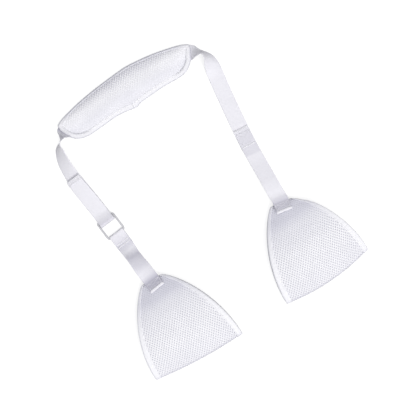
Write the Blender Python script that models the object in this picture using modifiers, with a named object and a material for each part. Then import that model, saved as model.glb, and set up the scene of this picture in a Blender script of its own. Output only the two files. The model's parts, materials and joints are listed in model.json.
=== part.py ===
"""Arm sling lying flat: shoulder pad, two webbing legs, adjuster ring and two mesh cradles.

The design frame has its origin at the middle of the pad, +X along the pad, the cradles towards -Y and +Z up.
At the end everything is moved together so that the frame's origin is under the middle of the object's box.
"""
import math

import bmesh
import bpy
from mathutils import Matrix, Vector

MM = 0.001

# Clearances
GAP = 0.3 * MM            # between pieces sewn or resting on each other
BEND_GAP = 0.8 * MM       # between two stretches of webbing that bend against each other
RING_PLAY = 0.4 * MM      # round the ring's bars, inside the webbing's loops

# Webbing
WEB_WIDTH = 25.0 * MM
WEB_THICK = 1.4 * MM
PATCH_SHARE = 0.8         # fastener patch's share of the webbing's width
PATCH_THICK = 0.8 * MM
STITCH_SHARE = 0.9        # sewn row's share of the webbing's width
STITCH_THICK = 0.8 * MM
STITCH_ROW = 3.0 * MM
STITCH_ROUNDING = 0.25 * MM
SEAM_INSET = 0.15         # a sewn row lies this share of the lap in from its end

# Shoulder pad
PAD_LENGTH = 233.0 * MM
PAD_ABOVE = 26.0 * MM     # middle of the pad to its arched edge
PAD_BELOW = 31.0 * MM     # middle of the pad to its straight edge
PAD_TIP = 4.0 * MM        # the pointed ends sit this far above the middle
PAD_CROWN = 11.0 * MM     # filling's height in the middle
PAD_ARCH = 2.2            # powers that shape the arched edge, the corners of the straight one, and the crown
PAD_CORNERS = 3.5
PAD_TOP_FLAT = 2.6
PAD_TOP_ROUND = 0.9
PAD_FOAM_REACH = 0.9      # the filling's share of the pad
PAD_SEAT = 0.75           # the backing lies level on the webbing up to near this share of the pad
COVER_THICK = 1.2 * MM
BACKING_THICK = 0.8 * MM

# Binding tape
TAPE_THICK = 0.6 * MM
PAD_TAPE_WIDTH = 7.0 * MM
CRADLE_TAPE_WIDTH = 9.0 * MM
CRADLE_TAPE_GAP = 0.4 * MM
TAPE_BULGE = 0.6          # the fold's reach past the edge, as a share of its half height

# Adjuster ring
RING_ROD = 3.2 * MM
RING_PLAY_SIDE = 0.4 * MM
RING_LENGTH = 32.5 * MM
RING_CORNER = 2.4 * MM

# Legs, in plan. Distances called out are measured outwards from the pad's pointed end on the same side.
RING_OUT = 15.0 * MM
RING_DOWN = 167.0 * MM    # middle of the pad to the middle of the ring
LEFT_LEAN = 5.5           # degrees between the left leg and the pad's square
LEG_START = 4.4 * MM      # the strap lies flat from this far above the ring's top bar
TAIL_LENGTH = 77.5 * MM   # along the leg from the ring's top bar
TAIL_SETTLE = 6.6 * MM    # the tail lies on its patch from this far along the leg
PATCH_START = 20.0 * MM
TAIL_STUB = 7.0 * MM      # webbing that stays round the ring when the tail is lifted
HEM_LENGTH = 7.0 * MM
TAB_FOLD = 26.0 * MM      # lower webbing turned back under itself at the ring
SPLICE_LENGTH = 32.0 * MM
TAB_LEVEL_RUN = 0.15      # the lower webbing is level for this share of its width before the cradle
PAD_WEB_DOWN = 4.0 * MM   # middle of the pad to the middle of the webbing under it

# The webbing turns on edge beside the pad: distance out and down in widths of the webbing, and how far it
# stands on edge, in degrees
LEFT_NECK_TURN = (0.6, 0.72, -90)
LEFT_TURN = ((0.41, 0.62, -66), (0.18, 0.57, -38), (-0.02, 0.5, 0), (-0.44, 0.28, 0))
RIGHT_TURN = ((-0.44, 0.28, 0), (-0.02, 0.5, 0), (0.16, 0.57, -38), (0.33, 0.62, -66))
RIGHT_NECK_TURN = (0.5, 0.72, -90)

# Plan of the legs between those places: the same in mm, up from the ring on the left and down on the right
LEFT_WAY = ((19.5, 122.0, -5), (22.5, 95.0, -14), (24.3, 70.0, -27), (24.0, 48.0, -38), (20.5, 31.0, -52),
            (17.8, 24.0, -66))
RIGHT_WAY = ((14.5, 28.0, -52), (13.0, 41.0, -18), (10.0, 58.0, 0), (5.0, 95.0, 0), (-0.5, 140.0, 0),
             (-4.0, 176.0, 0))

# Soft waves of the lower webbing: share of the way to the cradle, and mm above what it lies on
LEFT_WAVE = ((0.12, 2.2), (0.22, 0.1), (0.36, 1.2), (0.52, 6.0), (0.68, 8.6), (0.84, 8.0))
RIGHT_WAVE = ((0.12, 0.6), (0.3, 0.2), (0.55, 1.7), (0.8, 6.3))

# Cradles
CRADLE_WIDTH = 147.0 * MM
CRADLE_SHOULDER = 4.5 * MM   # top edge of the panel beside the webbing, on each side
CRADLE_HEIGHT = 141.0 * MM
CRADLE_BELLY = 21.8 * MM     # highest middle of the sheet above the surface
CRADLE_FULLNESS = 0.85       # power that rounds the cradle's sides
MESH_THICK = 2.4 * MM
EDGE_DROOP = 0.22            # share of the loop's height lost at the bound edges
DROOP_FROM = 4.0 * MM        # the edges start to droop at this height, and droop in full at the next
DROOP_FULL = 12.0 * MM
BACK_FADE = 6.0 * MM         # the back's raised edges fade out over this height
LIFT_FULL = 1.0              # and from this many tape widths in to the next
LIFT_NONE = 3.0
TAB_ON_CRADLE = 16.0 * MM    # webbing sewn down on the panel
LEFT_HINGE_OUT = 5.3 * MM
LEFT_HINGE_DOWN = 269.0 * MM
RIGHT_HINGE_OUT = -8.3 * MM
RIGHT_HINGE_DOWN = 272.0 * MM
LEFT_TAB_LEAN = 7.0
RIGHT_TAB_LEAN = -10.0

# How much further down a panel hangs, as shares of its height: in its middle, at its right and at both sides
LEFT_SLANT = (0.007, 0.034, -0.028)
RIGHT_SLANT = (0.016, -0.0195, -0.0605)

# The slack loop of the panel from its front top edge round to its back one: shares of the cradle's height,
# down, and of its belly, up
LOOP_FRONT = ((0.1, 0.54), (0.227, 0.8), (0.411, 0.99), (0.624, 1.0), (0.809, 0.845), (0.908, 0.665),
              (0.967, 0.505), (0.993, 0.282))
LOOP_BACK = ((0.965, 0.073), (0.908, 0.007), (0.794, 0.0), (0.426, 0.0), (0.0, 0.0))

# Fineness
ROUTE_STEPS = 4           # between the points of a webbing route
WAVE_STEPS = 3
LOOP_STEPS = 3
TWIST_COLUMNS = 5         # across webbing that twists
PAD_SPOKES = 48
SHARP_ANGLE = math.radians(40)
WELD = 0.02 * MM

COLLECTION_NAME = "arm_sling"


# Helpers

def clear_scene():
    for obj in list(bpy.data.objects):
        bpy.data.objects.remove(obj, do_unlink=True)
    group = bpy.data.collections.new(COLLECTION_NAME)
    bpy.context.scene.collection.children.link(group)
    return group


def material(name, colour, roughness):
    mat = bpy.data.materials.new(name)
    mat.use_nodes = True
    shader = mat.node_tree.nodes["Principled BSDF"]
    shader.inputs["Base Color"].default_value = (*colour, 1.0)
    shader.inputs["Roughness"].default_value = roughness
    shader.inputs["Metallic"].default_value = 0.0
    return mat


def smooth_route(points, steps):
    """Points on a smooth curve through the given tuples, with that many steps between neighbours."""
    route = []
    count = len(points)
    for i in range(count - 1):
        before = points[max(i - 1, 0)]
        start, end = points[i], points[i + 1]
        after = points[min(i + 2, count - 1)]
        for k in range(steps):
            t = k / steps
            route.append(tuple(
                0.5 * (2 * b + (c - a) * t + (2 * a - 5 * b + 4 * c - d) * t ** 2
                       + (3 * b - a - 3 * c + d) * t ** 3)
                for a, b, c, d in zip(before, start, end, after)))
    route.append(tuple(points[-1]))
    return route


def between(stations, v):
    """The value at share v of a list of vectors, straight between neighbours."""
    place = v * (len(stations) - 1)
    low = min(int(place + 1e-6), len(stations) - 2)
    return stations[low].lerp(stations[low + 1], place - low)


class Body:
    """A rigid group of pieces, with an empty on the axis that the group turns about."""

    def __init__(self, name, anchor, parent):
        self.anchor = Vector(anchor)
        self.empty = bpy.data.objects.new(name + "_pivot", None)
        self.empty.empty_display_size = 0.02
        group.objects.link(self.empty)
        if parent is not None:
            self.empty.parent = parent.empty
            self.empty.location = self.anchor - parent.anchor

    def add(self, name, bm, mat):
        bmesh.ops.translate(bm, verts=bm.verts, vec=-self.anchor)
        mesh = bpy.data.meshes.new(name)
        bm.to_mesh(mesh)
        bm.free()
        mesh.materials.append(mat)
        mesh.shade_smooth()
        mesh.set_sharp_from_angle(angle=SHARP_ANGLE)
        obj = bpy.data.objects.new(name, mesh)
        group.objects.link(obj)
        obj.parent = self.empty
        return obj


def thicken(obj, thickness):
    shell = obj.modifiers.new("thickness", "SOLIDIFY")
    shell.thickness = thickness
    shell.offset = 0.0


def bent_grid(columns, rows, place):
    """A grid whose corner (u, v), each from 0 to 1, is moved to place(u, v)."""
    bm = bmesh.new()
    bmesh.ops.create_grid(bm, x_segments=columns, y_segments=rows, size=0.5)
    for vert in bm.verts:
        vert.co = place(vert.co.x + 0.5, vert.co.y + 0.5)
    return bm


def welded(bm):
    bmesh.ops.remove_doubles(bm, verts=bm.verts, dist=WELD)
    bmesh.ops.recalc_face_normals(bm, faces=bm.faces)
    return bm


def faces_up(path, across):
    """Unit vectors square to a band, one for each station of its path."""
    ends = path[:1] + path + path[-1:]
    return [(ends[i + 2] - ends[i]).cross(across[i]).normalized() for i in range(len(path))]


def strip(body, name, path, across, width, thickness, mat, columns=1):
    """A flat band along path, each of whose stations is crossed by its own unit vector in across."""
    bm = bmesh.new()
    rows = []
    for spot, side, up in zip(path, across, faces_up(path, across)):
        row = []
        for face, order in ((-0.5, range(columns + 1)), (0.5, range(columns, -1, -1))):
            for k in order:
                row.append(bm.verts.new(spot + side * width * (k / columns - 0.5) + up * thickness * face))
        rows.append(row)
    for near, far in zip(rows, rows[1:]):
        for k in range(len(near)):
            bm.faces.new((near[k - 1], near[k], far[k], far[k - 1]))
    bm.faces.new(rows[0])
    bm.faces.new(rows[-1])
    body.add(name, welded(bm), mat)


def webbing(body, name, path, across, columns=1):
    strip(body, name, path, across, WEB_WIDTH, WEB_THICK, WEB_WHITE, columns)


def sewn_row(body, name, spot, along, across):
    """A bar of close stitches: a rounded block lying on the webbing whose middle is the spot."""
    normal = along.cross(across).normalized()
    turn = Matrix((across, along, normal)).transposed().to_4x4()
    centre = spot + normal * (WEB_THICK / 2 + GAP + STITCH_THICK / 2)
    bm = bmesh.new()
    bmesh.ops.create_cube(bm, size=1.0)
    bmesh.ops.scale(bm, vec=(WEB_WIDTH * STITCH_SHARE, STITCH_ROW, STITCH_THICK), verts=bm.verts)
    bmesh.ops.transform(bm, matrix=Matrix.Translation(centre) @ turn, verts=bm.verts)
    obj = body.add(name, welded(bm), THREAD_WHITE)
    rounding = obj.modifiers.new("rounding", "BEVEL")
    rounding.width = STITCH_ROUNDING
    rounding.segments = 1


def plan_frames(stations, steps):
    """Centre points and width vectors of webbing that lies or stands on its lower edge along a plan route."""
    flat = smooth_route([(x, y) for x, y, tilt in stations], steps)
    path, across = [], []
    for i, (x, y) in enumerate(flat):
        nearer = flat[max(i - 1, 0)]
        further = flat[min(i + 1, len(flat) - 1)]
        onward = Vector((further[0] - nearer[0], further[1] - nearer[1], 0)).normalized()
        outward = Vector((-onward.y, onward.x, 0))
        nearest = min(i // steps, len(stations) - 2)
        share = i / steps - nearest
        lean = math.radians(stations[nearest][2] * (1 - share) + stations[nearest + 1][2] * share)
        width = outward * math.cos(lean) + Vector((0, 0, math.sin(lean)))
        rise = WEB_WIDTH / 2 * abs(math.sin(lean)) + WEB_THICK / 2 * abs(math.cos(lean))
        path.append(Vector((x, y, rise)))
        across.append(width)
    return path, across


def stretch(line, start, end):
    """Places on a line between two lengths along it: pairs of a station's number and a share of its step."""
    marks = [0.0]
    for here, onward in zip(line, line[1:]):
        marks.append(marks[-1] + (onward - here).length)
    places = []
    for length in [start] + [mark for mark in marks if start + GAP < mark < end - GAP] + [end]:
        i = max(k for k in range(len(line) - 1) if marks[k] <= length)
        places.append((i, (length - marks[i]) / (marks[i + 1] - marks[i])))
    return places


def direction(lean):
    """Unit vector down the object, leaning that many degrees towards +X."""
    return Vector((math.sin(math.radians(lean)), -math.cos(math.radians(lean)), 0))


def square(down):
    return Vector((-down.y, down.x, 0))


def on_left(out, down):
    return (-PAD_LENGTH / 2 - out, -down)


def on_right(out, down):
    return (PAD_LENGTH / 2 + out, -down)


def loop_level(share):
    return BACK_LEVEL + (CRADLE_BELLY - BACK_LEVEL) * share


def in_plan(side, way, unit):
    return [(*side(out * unit, down * unit), tilt) for out, down, tilt in way]


# Values worked out from the sizes above

RING_RADIUS = RING_ROD / 2
RING_HALF_WIDTH = WEB_WIDTH / 2 + RING_PLAY_SIDE + RING_RADIUS
RING_HALF_LENGTH = RING_LENGTH / 2 - RING_RADIUS
RING_HEIGHT = WEB_THICK + RING_PLAY + RING_RADIUS
LOOP_RADIUS = RING_RADIUS + RING_PLAY + WEB_THICK / 2
LEFT_DOWN = direction(LEFT_LEAN)
LEFT_ACROSS = square(LEFT_DOWN)
RING_MIDDLE = Vector((*on_left(RING_OUT, RING_DOWN), RING_HEIGHT))
UP = Vector((0, 0, 1))
TOP_BAR = RING_MIDDLE - LEFT_DOWN * RING_HALF_LENGTH
LOW_BAR = RING_MIDDLE + LEFT_DOWN * RING_HALF_LENGTH
LEG_FOOT = TOP_BAR - LEFT_DOWN * LEG_START
LEFT_NECK, *LEFT_PAD_TURN = in_plan(on_left, (LEFT_NECK_TURN, *LEFT_TURN), WEB_WIDTH)
*RIGHT_PAD_TURN, RIGHT_NECK = in_plan(on_right, (*RIGHT_TURN, RIGHT_NECK_TURN), WEB_WIDTH)
LEFT_ROUTE = [(LEG_FOOT.x, LEG_FOOT.y, 0), *in_plan(on_left, LEFT_WAY, MM), LEFT_NECK]
PAD_ROUTE = [LEFT_NECK, *LEFT_PAD_TURN, (-PAD_LENGTH / 4, -PAD_WEB_DOWN, 0), (0, -PAD_WEB_DOWN, 0),
             (PAD_LENGTH / 4, -PAD_WEB_DOWN, 0), *RIGHT_PAD_TURN, RIGHT_NECK]
RIGHT_ROUTE = [RIGHT_NECK, *in_plan(on_right, RIGHT_WAY, MM)]
CRADLE_TOP_WIDTH = WEB_WIDTH + 2 * CRADLE_SHOULDER
EDGE_HALF = (MESH_THICK + TAPE_THICK) / 2 + CRADLE_TAPE_GAP   # middle of the panel to the middle of its tape
BACK_LEVEL = MESH_THICK / 2
BACK_EDGE_LIFT = EDGE_HALF + TAPE_THICK / 2 - BACK_LEVEL
FRONT_TOP_LEVEL = BACK_LEVEL + BACK_EDGE_LIFT + 2 * EDGE_HALF + TAPE_THICK + GAP
LOOP_SLOPE = (loop_level(LOOP_FRONT[0][1]) - FRONT_TOP_LEVEL) / (LOOP_FRONT[0][0] * CRADLE_HEIGHT)
TAB_LEVEL = FRONT_TOP_LEVEL + (EDGE_HALF + TAPE_THICK / 2 + GAP + WEB_THICK / 2) * math.hypot(1, LOOP_SLOPE)
LEFT_HINGE = Vector((*on_left(LEFT_HINGE_OUT, LEFT_HINGE_DOWN), TAB_LEVEL))
RIGHT_HINGE = Vector((*on_right(RIGHT_HINGE_OUT, RIGHT_HINGE_DOWN), TAB_LEVEL))


# Shoulder pad

def pad_outline(turn):
    """Point on the pad's edge: a flat arch above, a long straight edge with round corners below."""
    x = math.cos(turn)
    if math.sin(turn) >= 0:
        y = PAD_TIP + (PAD_ABOVE - PAD_TIP) * (1 - abs(x) ** PAD_ARCH)
    else:
        y = PAD_TIP - (PAD_BELOW + PAD_TIP) * (1 - abs(x) ** PAD_CORNERS) ** (1 / PAD_CORNERS)
    return Vector((x * PAD_LENGTH / 2, y, 0))


def pad_point(turn, share, height):
    edge = pad_outline(turn)
    return Vector((edge.x * share, edge.y * share, height))


PAD_BASE = WEB_THICK + GAP                       # underside of the backing, over the webbing
PAD_EDGE_BASE = PAD_BASE + TAPE_THICK + GAP      # underside of the backing at the edge, over the tape


def pad_back_level(share):
    rise = min(1.0, share / PAD_SEAT) ** 4
    return PAD_BASE + BACKING_THICK / 2 + (PAD_EDGE_BASE - PAD_BASE) * rise


def pad_cover_level(share):
    edge = pad_back_level(1) + BACKING_THICK / 2 + GAP + COVER_THICK / 2
    return edge + (PAD_CROWN - GAP) * (1 - share ** PAD_TOP_FLAT) ** PAD_TOP_ROUND


def pad_disc(rings, level):
    def place(u, v):
        return pad_point(u * math.tau, v, level(v))
    return welded(bent_grid(PAD_SPOKES, rings, place))


def make_pad(body):
    thicken(body.add("pad_face_panel", pad_disc(7, pad_cover_level), MESH_WHITE), COVER_THICK)
    thicken(body.add("pad_back_panel", pad_disc(4, pad_back_level), CLOTH_WHITE), BACKING_THICK)
    body.add("pad_foam_core", pad_foam(), FOAM_WHITE)
    make_pad_binding(body)


def pad_foam():
    """Filling between backing and cover, short of the pad's edge."""
    rings = 5

    def place(u, v):
        share = PAD_FOAM_REACH * (1 - abs(2 * v - 1))
        if v > 0.5 + 1e-6:
            height = pad_cover_level(share) - COVER_THICK / 2 - 2 * GAP
        elif v < 0.5 - 1e-6:
            height = pad_back_level(share) + BACKING_THICK / 2 + GAP
        else:
            height = (pad_cover_level(share) + pad_back_level(share)) / 2
        return pad_point(u * math.tau, share, height)
    return welded(bent_grid(PAD_SPOKES // 2, 2 * rings, place))


def make_pad_binding(body):
    """Tape folded over the pad's edge."""
    low = pad_back_level(1) - BACKING_THICK / 2 - GAP - TAPE_THICK / 2
    high = pad_cover_level(1) + COVER_THICK / 2 + GAP + TAPE_THICK / 2
    round_out = (high - low) / 2
    flap = PAD_TAPE_WIDTH - round_out
    lift = COVER_THICK / 2 + GAP + TAPE_THICK / 2

    bend = 0.25   # the fold takes this share of the tape on each side of its middle

    def place(u, v):
        turn = u * math.tau
        along = (pad_outline(turn + 0.001) - pad_outline(turn - 0.001)).normalized()
        outward = Vector((along.y, -along.x, 0))
        edge = pad_outline(turn)
        reach = edge.dot(outward)
        seam = edge * (1 + GAP / reach)
        from_fold = (abs(v - 0.5) - bend) / (0.5 - bend)
        if from_fold > 0 and v < 0.5:
            return seam * (1 - flap * from_fold / reach) + UP * low
        if from_fold > 0:
            share = 1 - flap * from_fold / reach
            slope = (pad_cover_level(share - 0.01) - pad_cover_level(share)) / (0.01 * reach)
            return seam * share + UP * (pad_cover_level(share) + lift * math.hypot(1, slope))
        swing = (v - 0.5) / bend * math.pi / 2
        middle = UP * ((low + high) / 2 + round_out * math.sin(swing))
        return seam + outward * round_out * TAPE_BULGE * math.cos(swing) + middle
    thicken(body.add("pad_binding", welded(bent_grid(PAD_SPOKES, 8, place)), TAPE_WHITE), TAPE_THICK)


# Adjuster ring and the webbing on its two bars

def make_ring(body):
    """Rounded rectangle of rod, lying level between the webbing's loops."""
    curve = bpy.data.curves.new("adjuster_ring", "CURVE")
    curve.dimensions = "3D"
    curve.bevel_depth = RING_RADIUS
    curve.bevel_resolution = 3
    corners = []
    for quarter in range(4):
        side = (1, -1, -1, 1)[quarter] * (RING_HALF_WIDTH - RING_CORNER)
        end = (1, 1, -1, -1)[quarter] * (RING_HALF_LENGTH - RING_CORNER)
        for k in range(6):
            angle = math.radians(90 * quarter + 18 * k)
            corners.append((side + RING_CORNER * math.cos(angle), end + RING_CORNER * math.sin(angle)))
    spline = curve.splines.new("POLY")
    spline.points.add(len(corners) - 1)
    spline.use_cyclic_u = True
    for point, (x, y) in zip(spline.points, corners):
        place = RING_MIDDLE - body.anchor + LEFT_ACROSS * x - LEFT_DOWN * y
        point.co = (*place, 1.0)
    curve.materials.append(RING_WHITE)
    ring = bpy.data.objects.new("adjuster_ring", curve)
    group.objects.link(ring)
    ring.parent = body.empty


def bar_loop(bar, towards, start, end):
    """Webbing's middle line round a bar between two angles above the surface, bulging towards a direction."""
    steps = 8
    points = []
    for k in range(steps + 1):
        angle = start + (end - start) * k / steps
        points.append(bar + towards * LOOP_RADIUS * math.cos(angle) + UP * LOOP_RADIUS * math.sin(angle))
    return points


def make_left_leg(body, tail):
    """Strap from the pad, round the ring's top bar, with the fastener patch under its folded-back tail."""
    leg, leg_across = plan_frames(LEFT_ROUTE, ROUTE_STEPS)
    leg[-1] = leg[-1] + (leg[-2] - leg[-1]).normalized() * BEND_GAP / 2
    stub_end = TOP_BAR - LEFT_DOWN * TAIL_STUB + UP * LOOP_RADIUS
    loop = bar_loop(TOP_BAR, LEFT_DOWN, math.pi / 2, -math.pi / 2)
    path = [stub_end] + loop + leg
    across = [-LEFT_ACROSS] * (1 + len(loop)) + leg_across
    webbing(body, "left_strap", path, across, TWIST_COLUMNS)

    over = faces_up(leg, leg_across)
    tail_end = TAIL_LENGTH - LEG_START

    def layer(start, lift):
        layer_path, layer_across = [], []
        for i, share in stretch(leg, start, tail_end):
            spot = leg[i].lerp(leg[i + 1], share)
            layer_path.append(spot + over[i].lerp(over[i + 1], share) * lift)
            layer_across.append(leg_across[i].lerp(leg_across[i + 1], share).normalized())
        return layer_path, layer_across
    loop_lift = WEB_THICK / 2 + GAP + PATCH_THICK / 2
    hook_lift = loop_lift + PATCH_THICK + GAP
    tail_lift = hook_lift + PATCH_THICK / 2 + GAP + WEB_THICK / 2
    hem_lift = tail_lift + WEB_THICK + GAP
    patch = (WEB_WIDTH * PATCH_SHARE, PATCH_THICK, PATCH_WHITE, TWIST_COLUMNS)
    strip(body, "loop_patch", *layer(PATCH_START, loop_lift), *patch)
    strip(tail, "hook_patch", *layer(PATCH_START, hook_lift), *patch)
    tail_path, tail_across = layer(TAIL_SETTLE, tail_lift)
    tail_path.insert(0, stub_end - LEFT_DOWN * BEND_GAP)
    tail_across.insert(0, -LEFT_ACROSS)
    webbing(tail, "strap_tail", tail_path, tail_across, TWIST_COLUMNS)
    webbing(tail, "tail_hem", *layer(tail_end - HEM_LENGTH, hem_lift), TWIST_COLUMNS)


def waved(start, hinge, down, wave, level):
    """Smooth middle line from a start to just short of a cradle's hinge, at heights above a level."""
    shape = [start]
    for share, height in wave:
        spot = start.lerp(hinge, share)
        shape.append(Vector((spot.x, spot.y, level + height * MM)))
    shape.append(hinge - down * WEB_WIDTH * TAB_LEVEL_RUN)
    shape.append(hinge - down * BEND_GAP / 2)
    return [Vector(p) for p in smooth_route([tuple(p) for p in shape], WAVE_STEPS)]


def make_left_tab(body):
    """Lower webbing: turned under at the ring's low bar, then in a soft wave to the cradle."""
    down = direction(LEFT_TAB_LEAN)
    turned = bar_loop(LOW_BAR, -LEFT_DOWN, -math.pi / 2, math.pi / 2)
    under = Vector((LOW_BAR.x, LOW_BAR.y, WEB_THICK / 2)) + LEFT_DOWN * TAB_FOLD
    way = waved(turned[-1], LEFT_HINGE, down, LEFT_WAVE, WEB_THICK * 1.5 + GAP)
    path = [under] + turned + way[1:]
    across = [LEFT_ACROSS] * (1 + len(turned))
    across += [LEFT_ACROSS.lerp(square(down), k / len(way[1:])).normalized() for k in range(1, len(way))]
    webbing(body, "left_tab", path, across)
    knot = 2 * WAVE_STEPS
    sewn_row(body, "left_tab_bartack", way[knot], (way[knot + 1] - way[knot - 1]).normalized(), LEFT_ACROSS)


# Right leg

def make_right_leg(body):
    """Strap from the pad to the splice, where the lower webbing is lapped over it and sewn."""
    leg, leg_across = plan_frames(RIGHT_ROUTE, ROUTE_STEPS)
    leg[0] = leg[0] + (leg[1] - leg[0]).normalized() * BEND_GAP / 2
    webbing(body, "right_strap", leg, leg_across, TWIST_COLUMNS)

    down = direction(RIGHT_TAB_LEAN)
    onward = (leg[-1] - leg[-3]).normalized()
    lap = leg[-1] + UP * (WEB_THICK + GAP)
    top = lap - onward * SPLICE_LENGTH
    way = waved(lap, RIGHT_HINGE, down, RIGHT_WAVE, WEB_THICK / 2)
    start_across = leg_across[-1]
    across = [start_across]
    across += [start_across.lerp(square(down), k / (len(way) - 1)).normalized() for k in range(len(way))]
    webbing(body, "right_tab", [top] + way, across)
    for name, share in (("upper_splice_bartack", SEAM_INSET), ("lower_splice_bartack", 1 - SEAM_INSET)):
        sewn_row(body, name, top.lerp(lap, share), onward, start_across)


# Cradles

LOOP_SECTION = [(0, FRONT_TOP_LEVEL)]
LOOP_SECTION += [(down * CRADLE_HEIGHT, loop_level(up)) for down, up in LOOP_FRONT + LOOP_BACK]


def cradle_half_width(depth):
    """Half of the panel's width, that far below its top edge."""
    share = min(max(depth / CRADLE_HEIGHT, 0.0), 1.0)
    flare = (CRADLE_WIDTH - CRADLE_TOP_WIDTH) / 2
    return CRADLE_TOP_WIDTH / 2 + flare * (1 - (1 - share) ** 2) ** CRADLE_FULLNESS


class CradleLoop:
    """The folded panel: a sheet whose middle line is a slack loop, open at both sides."""

    def __init__(self, hinge, slant):
        self.top = Vector((hinge.x, hinge.y, 0))
        self.slant = slant
        self.line = [Vector((0, -depth, level)) for depth, level in smooth_route(LOOP_SECTION, LOOP_STEPS)]
        self.rows = len(self.line) - 1

    def point(self, side, v):
        """Middle of the sheet at side, from -1 to 1 across it, and v along the loop from front to back."""
        spot = between(self.line, v)
        half = cradle_half_width(-spot.y)
        from_edge = half * (1 - abs(side)) / CRADLE_TAPE_WIDTH
        lift = BACK_EDGE_LIFT * min(1.0, max(0.0, (LIFT_NONE - from_edge) / (LIFT_NONE - LIFT_FULL)))
        rise = spot.z - BACK_LEVEL
        slack = min(1.0, max(0.0, (rise - DROOP_FROM) / (DROOP_FULL - DROOP_FROM)))
        droop = EDGE_DROOP * rise * side ** 2 * slack
        near_back = max(0.0, 1 - rise / BACK_FADE)
        middle, right, both = self.slant
        reach = 1 + middle + right * side + both * side ** 2
        return self.top + Vector((side * half, spot.y * reach, spot.z - droop + lift * near_back))

    def inset(self, side, v, distance):
        """The side value that lies that far in from the edge at the given side, -1 or 1."""
        half = cradle_half_width(-between(self.line, v).y)
        return side * (1 - distance / half)

    def normal(self, side, v):
        row = 1 / self.rows
        before = self.point(side, v) - self.point(side, max(v - row, 0))
        after = self.point(side, min(v + row, 1)) - self.point(side, v)
        along = before.normalized() + after.normalized()
        sideways = self.point(side + 0.02, v) - self.point(side - 0.02, v)
        return sideways.cross(along).normalized()


def make_cradle(body, name, hinge, lean, slant):
    loop = CradleLoop(hinge, slant)

    def panel(u, v):
        return loop.point(math.sin(math.pi * (u - 0.5)), v)
    thicken(body.add(name + "_cradle_panel", bent_grid(10, loop.rows, panel), MESH_WHITE), MESH_THICK)

    bend = 0.2   # the fold takes this share of the tape on each side of its middle
    for edge, label in ((-1, "left"), (1, "right")):
        def tape(u, v, edge=edge):
            from_fold = (abs(u - 0.5) - bend) / (0.5 - bend)
            if from_fold < 0:
                swing = (u - 0.5) / bend * math.pi / 2
                out = loop.inset(edge, v, -CRADLE_TAPE_GAP - EDGE_HALF * TAPE_BULGE * math.cos(swing))
                return loop.point(out, v) + loop.normal(edge, v) * EDGE_HALF * math.sin(swing)
            face = 1 if u > 0.5 else -1
            side = loop.inset(edge, v, (CRADLE_TAPE_WIDTH - EDGE_HALF) * from_fold)
            return loop.point(side, v) + loop.normal(side, v) * EDGE_HALF * face
        grid = bent_grid(10, loop.rows, tape)
        thicken(body.add(name + "_cradle_binding_" + label, grid, TAPE_WHITE), TAPE_THICK)

    down = direction(lean)
    across = square(down)
    start = hinge + down * BEND_GAP / 2
    rise = UP * LOOP_SLOPE
    path = [start, start + (down + rise) * TAB_ON_CRADLE]
    webbing(body, name + "_tab_end", path, [across] * 2)
    spot = path[0].lerp(path[1], 1 - SEAM_INSET)
    sewn_row(body, name + "_cradle_bartack", spot, (down + rise).normalized(), across)


def rest_on_frame(root):
    """Move everything together so that the origin is under the middle of the object's box."""
    bpy.context.view_layer.update()
    graph = bpy.context.evaluated_depsgraph_get()
    low = Vector((1e9, 1e9, 1e9))
    high = -low
    for obj in group.objects:
        if obj.type == "EMPTY":
            continue
        shape = obj.evaluated_get(graph)
        for vert in shape.to_mesh().vertices:
            spot = shape.matrix_world @ vert.co
            low = Vector(map(min, low, spot))
            high = Vector(map(max, high, spot))
        shape.to_mesh_clear()
    root.empty.location = -Vector(((low.x + high.x) / 2, (low.y + high.y) / 2, low.z))
    bpy.context.view_layer.update()


# Assembly

group = clear_scene()
MESH_WHITE = material("air_mesh", (0.86, 0.86, 0.89), 0.85)
CLOTH_WHITE = material("backing_cloth", (0.84, 0.84, 0.87), 0.8)
FOAM_WHITE = material("foam", (0.88, 0.87, 0.84), 0.9)
TAPE_WHITE = material("binding_tape", (0.9, 0.9, 0.92), 0.6)
WEB_WHITE = material("webbing", (0.85, 0.85, 0.88), 0.65)
PATCH_WHITE = material("fastener_patch", (0.82, 0.82, 0.85), 0.9)
RING_WHITE = material("ring_plastic", (0.8, 0.8, 0.82), 0.35)
THREAD_WHITE = material("thread", (0.9, 0.9, 0.92), 0.5)

shoulder = Body("shoulder", (0, 0, 0), None)
left_leg = Body("left_leg", (*LEFT_NECK[:2], 0), shoulder)
right_leg = Body("right_leg", (*RIGHT_NECK[:2], 0), shoulder)
tail_hinge = TOP_BAR - LEFT_DOWN * (TAIL_STUB + BEND_GAP / 2) + UP * (LOOP_RADIUS + WEB_THICK / 2)
tail = Body("tail", tail_hinge, left_leg)
ring = Body("ring", TOP_BAR, left_leg)
left_tab = Body("left_tab", LOW_BAR, ring)
left_cradle = Body("left_cradle", LEFT_HINGE + UP * WEB_THICK / 2, left_tab)
right_cradle = Body("right_cradle", RIGHT_HINGE + UP * WEB_THICK / 2, right_leg)

make_pad(shoulder)
pad_path, pad_across = plan_frames(PAD_ROUTE, ROUTE_STEPS)
pad_path[0] = pad_path[0] + (pad_path[1] - pad_path[0]).normalized() * BEND_GAP / 2
pad_path[-1] = pad_path[-1] + (pad_path[-2] - pad_path[-1]).normalized() * BEND_GAP / 2
webbing(shoulder, "pad_webbing", pad_path, pad_across, TWIST_COLUMNS)
make_left_leg(left_leg, tail)
make_ring(ring)
make_left_tab(left_tab)
make_right_leg(right_leg)
make_cradle(left_cradle, "left", LEFT_HINGE, LEFT_TAB_LEAN, LEFT_SLANT)
make_cradle(right_cradle, "right", RIGHT_HINGE, RIGHT_TAB_LEAN, RIGHT_SLANT)
rest_on_frame(shoulder)
for pivot in (left_leg, right_leg, tail, ring, left_tab, left_cradle, right_cradle):
    print(pivot.empty.name, [round(c, 5) for c in pivot.empty.matrix_world.translation])
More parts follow.
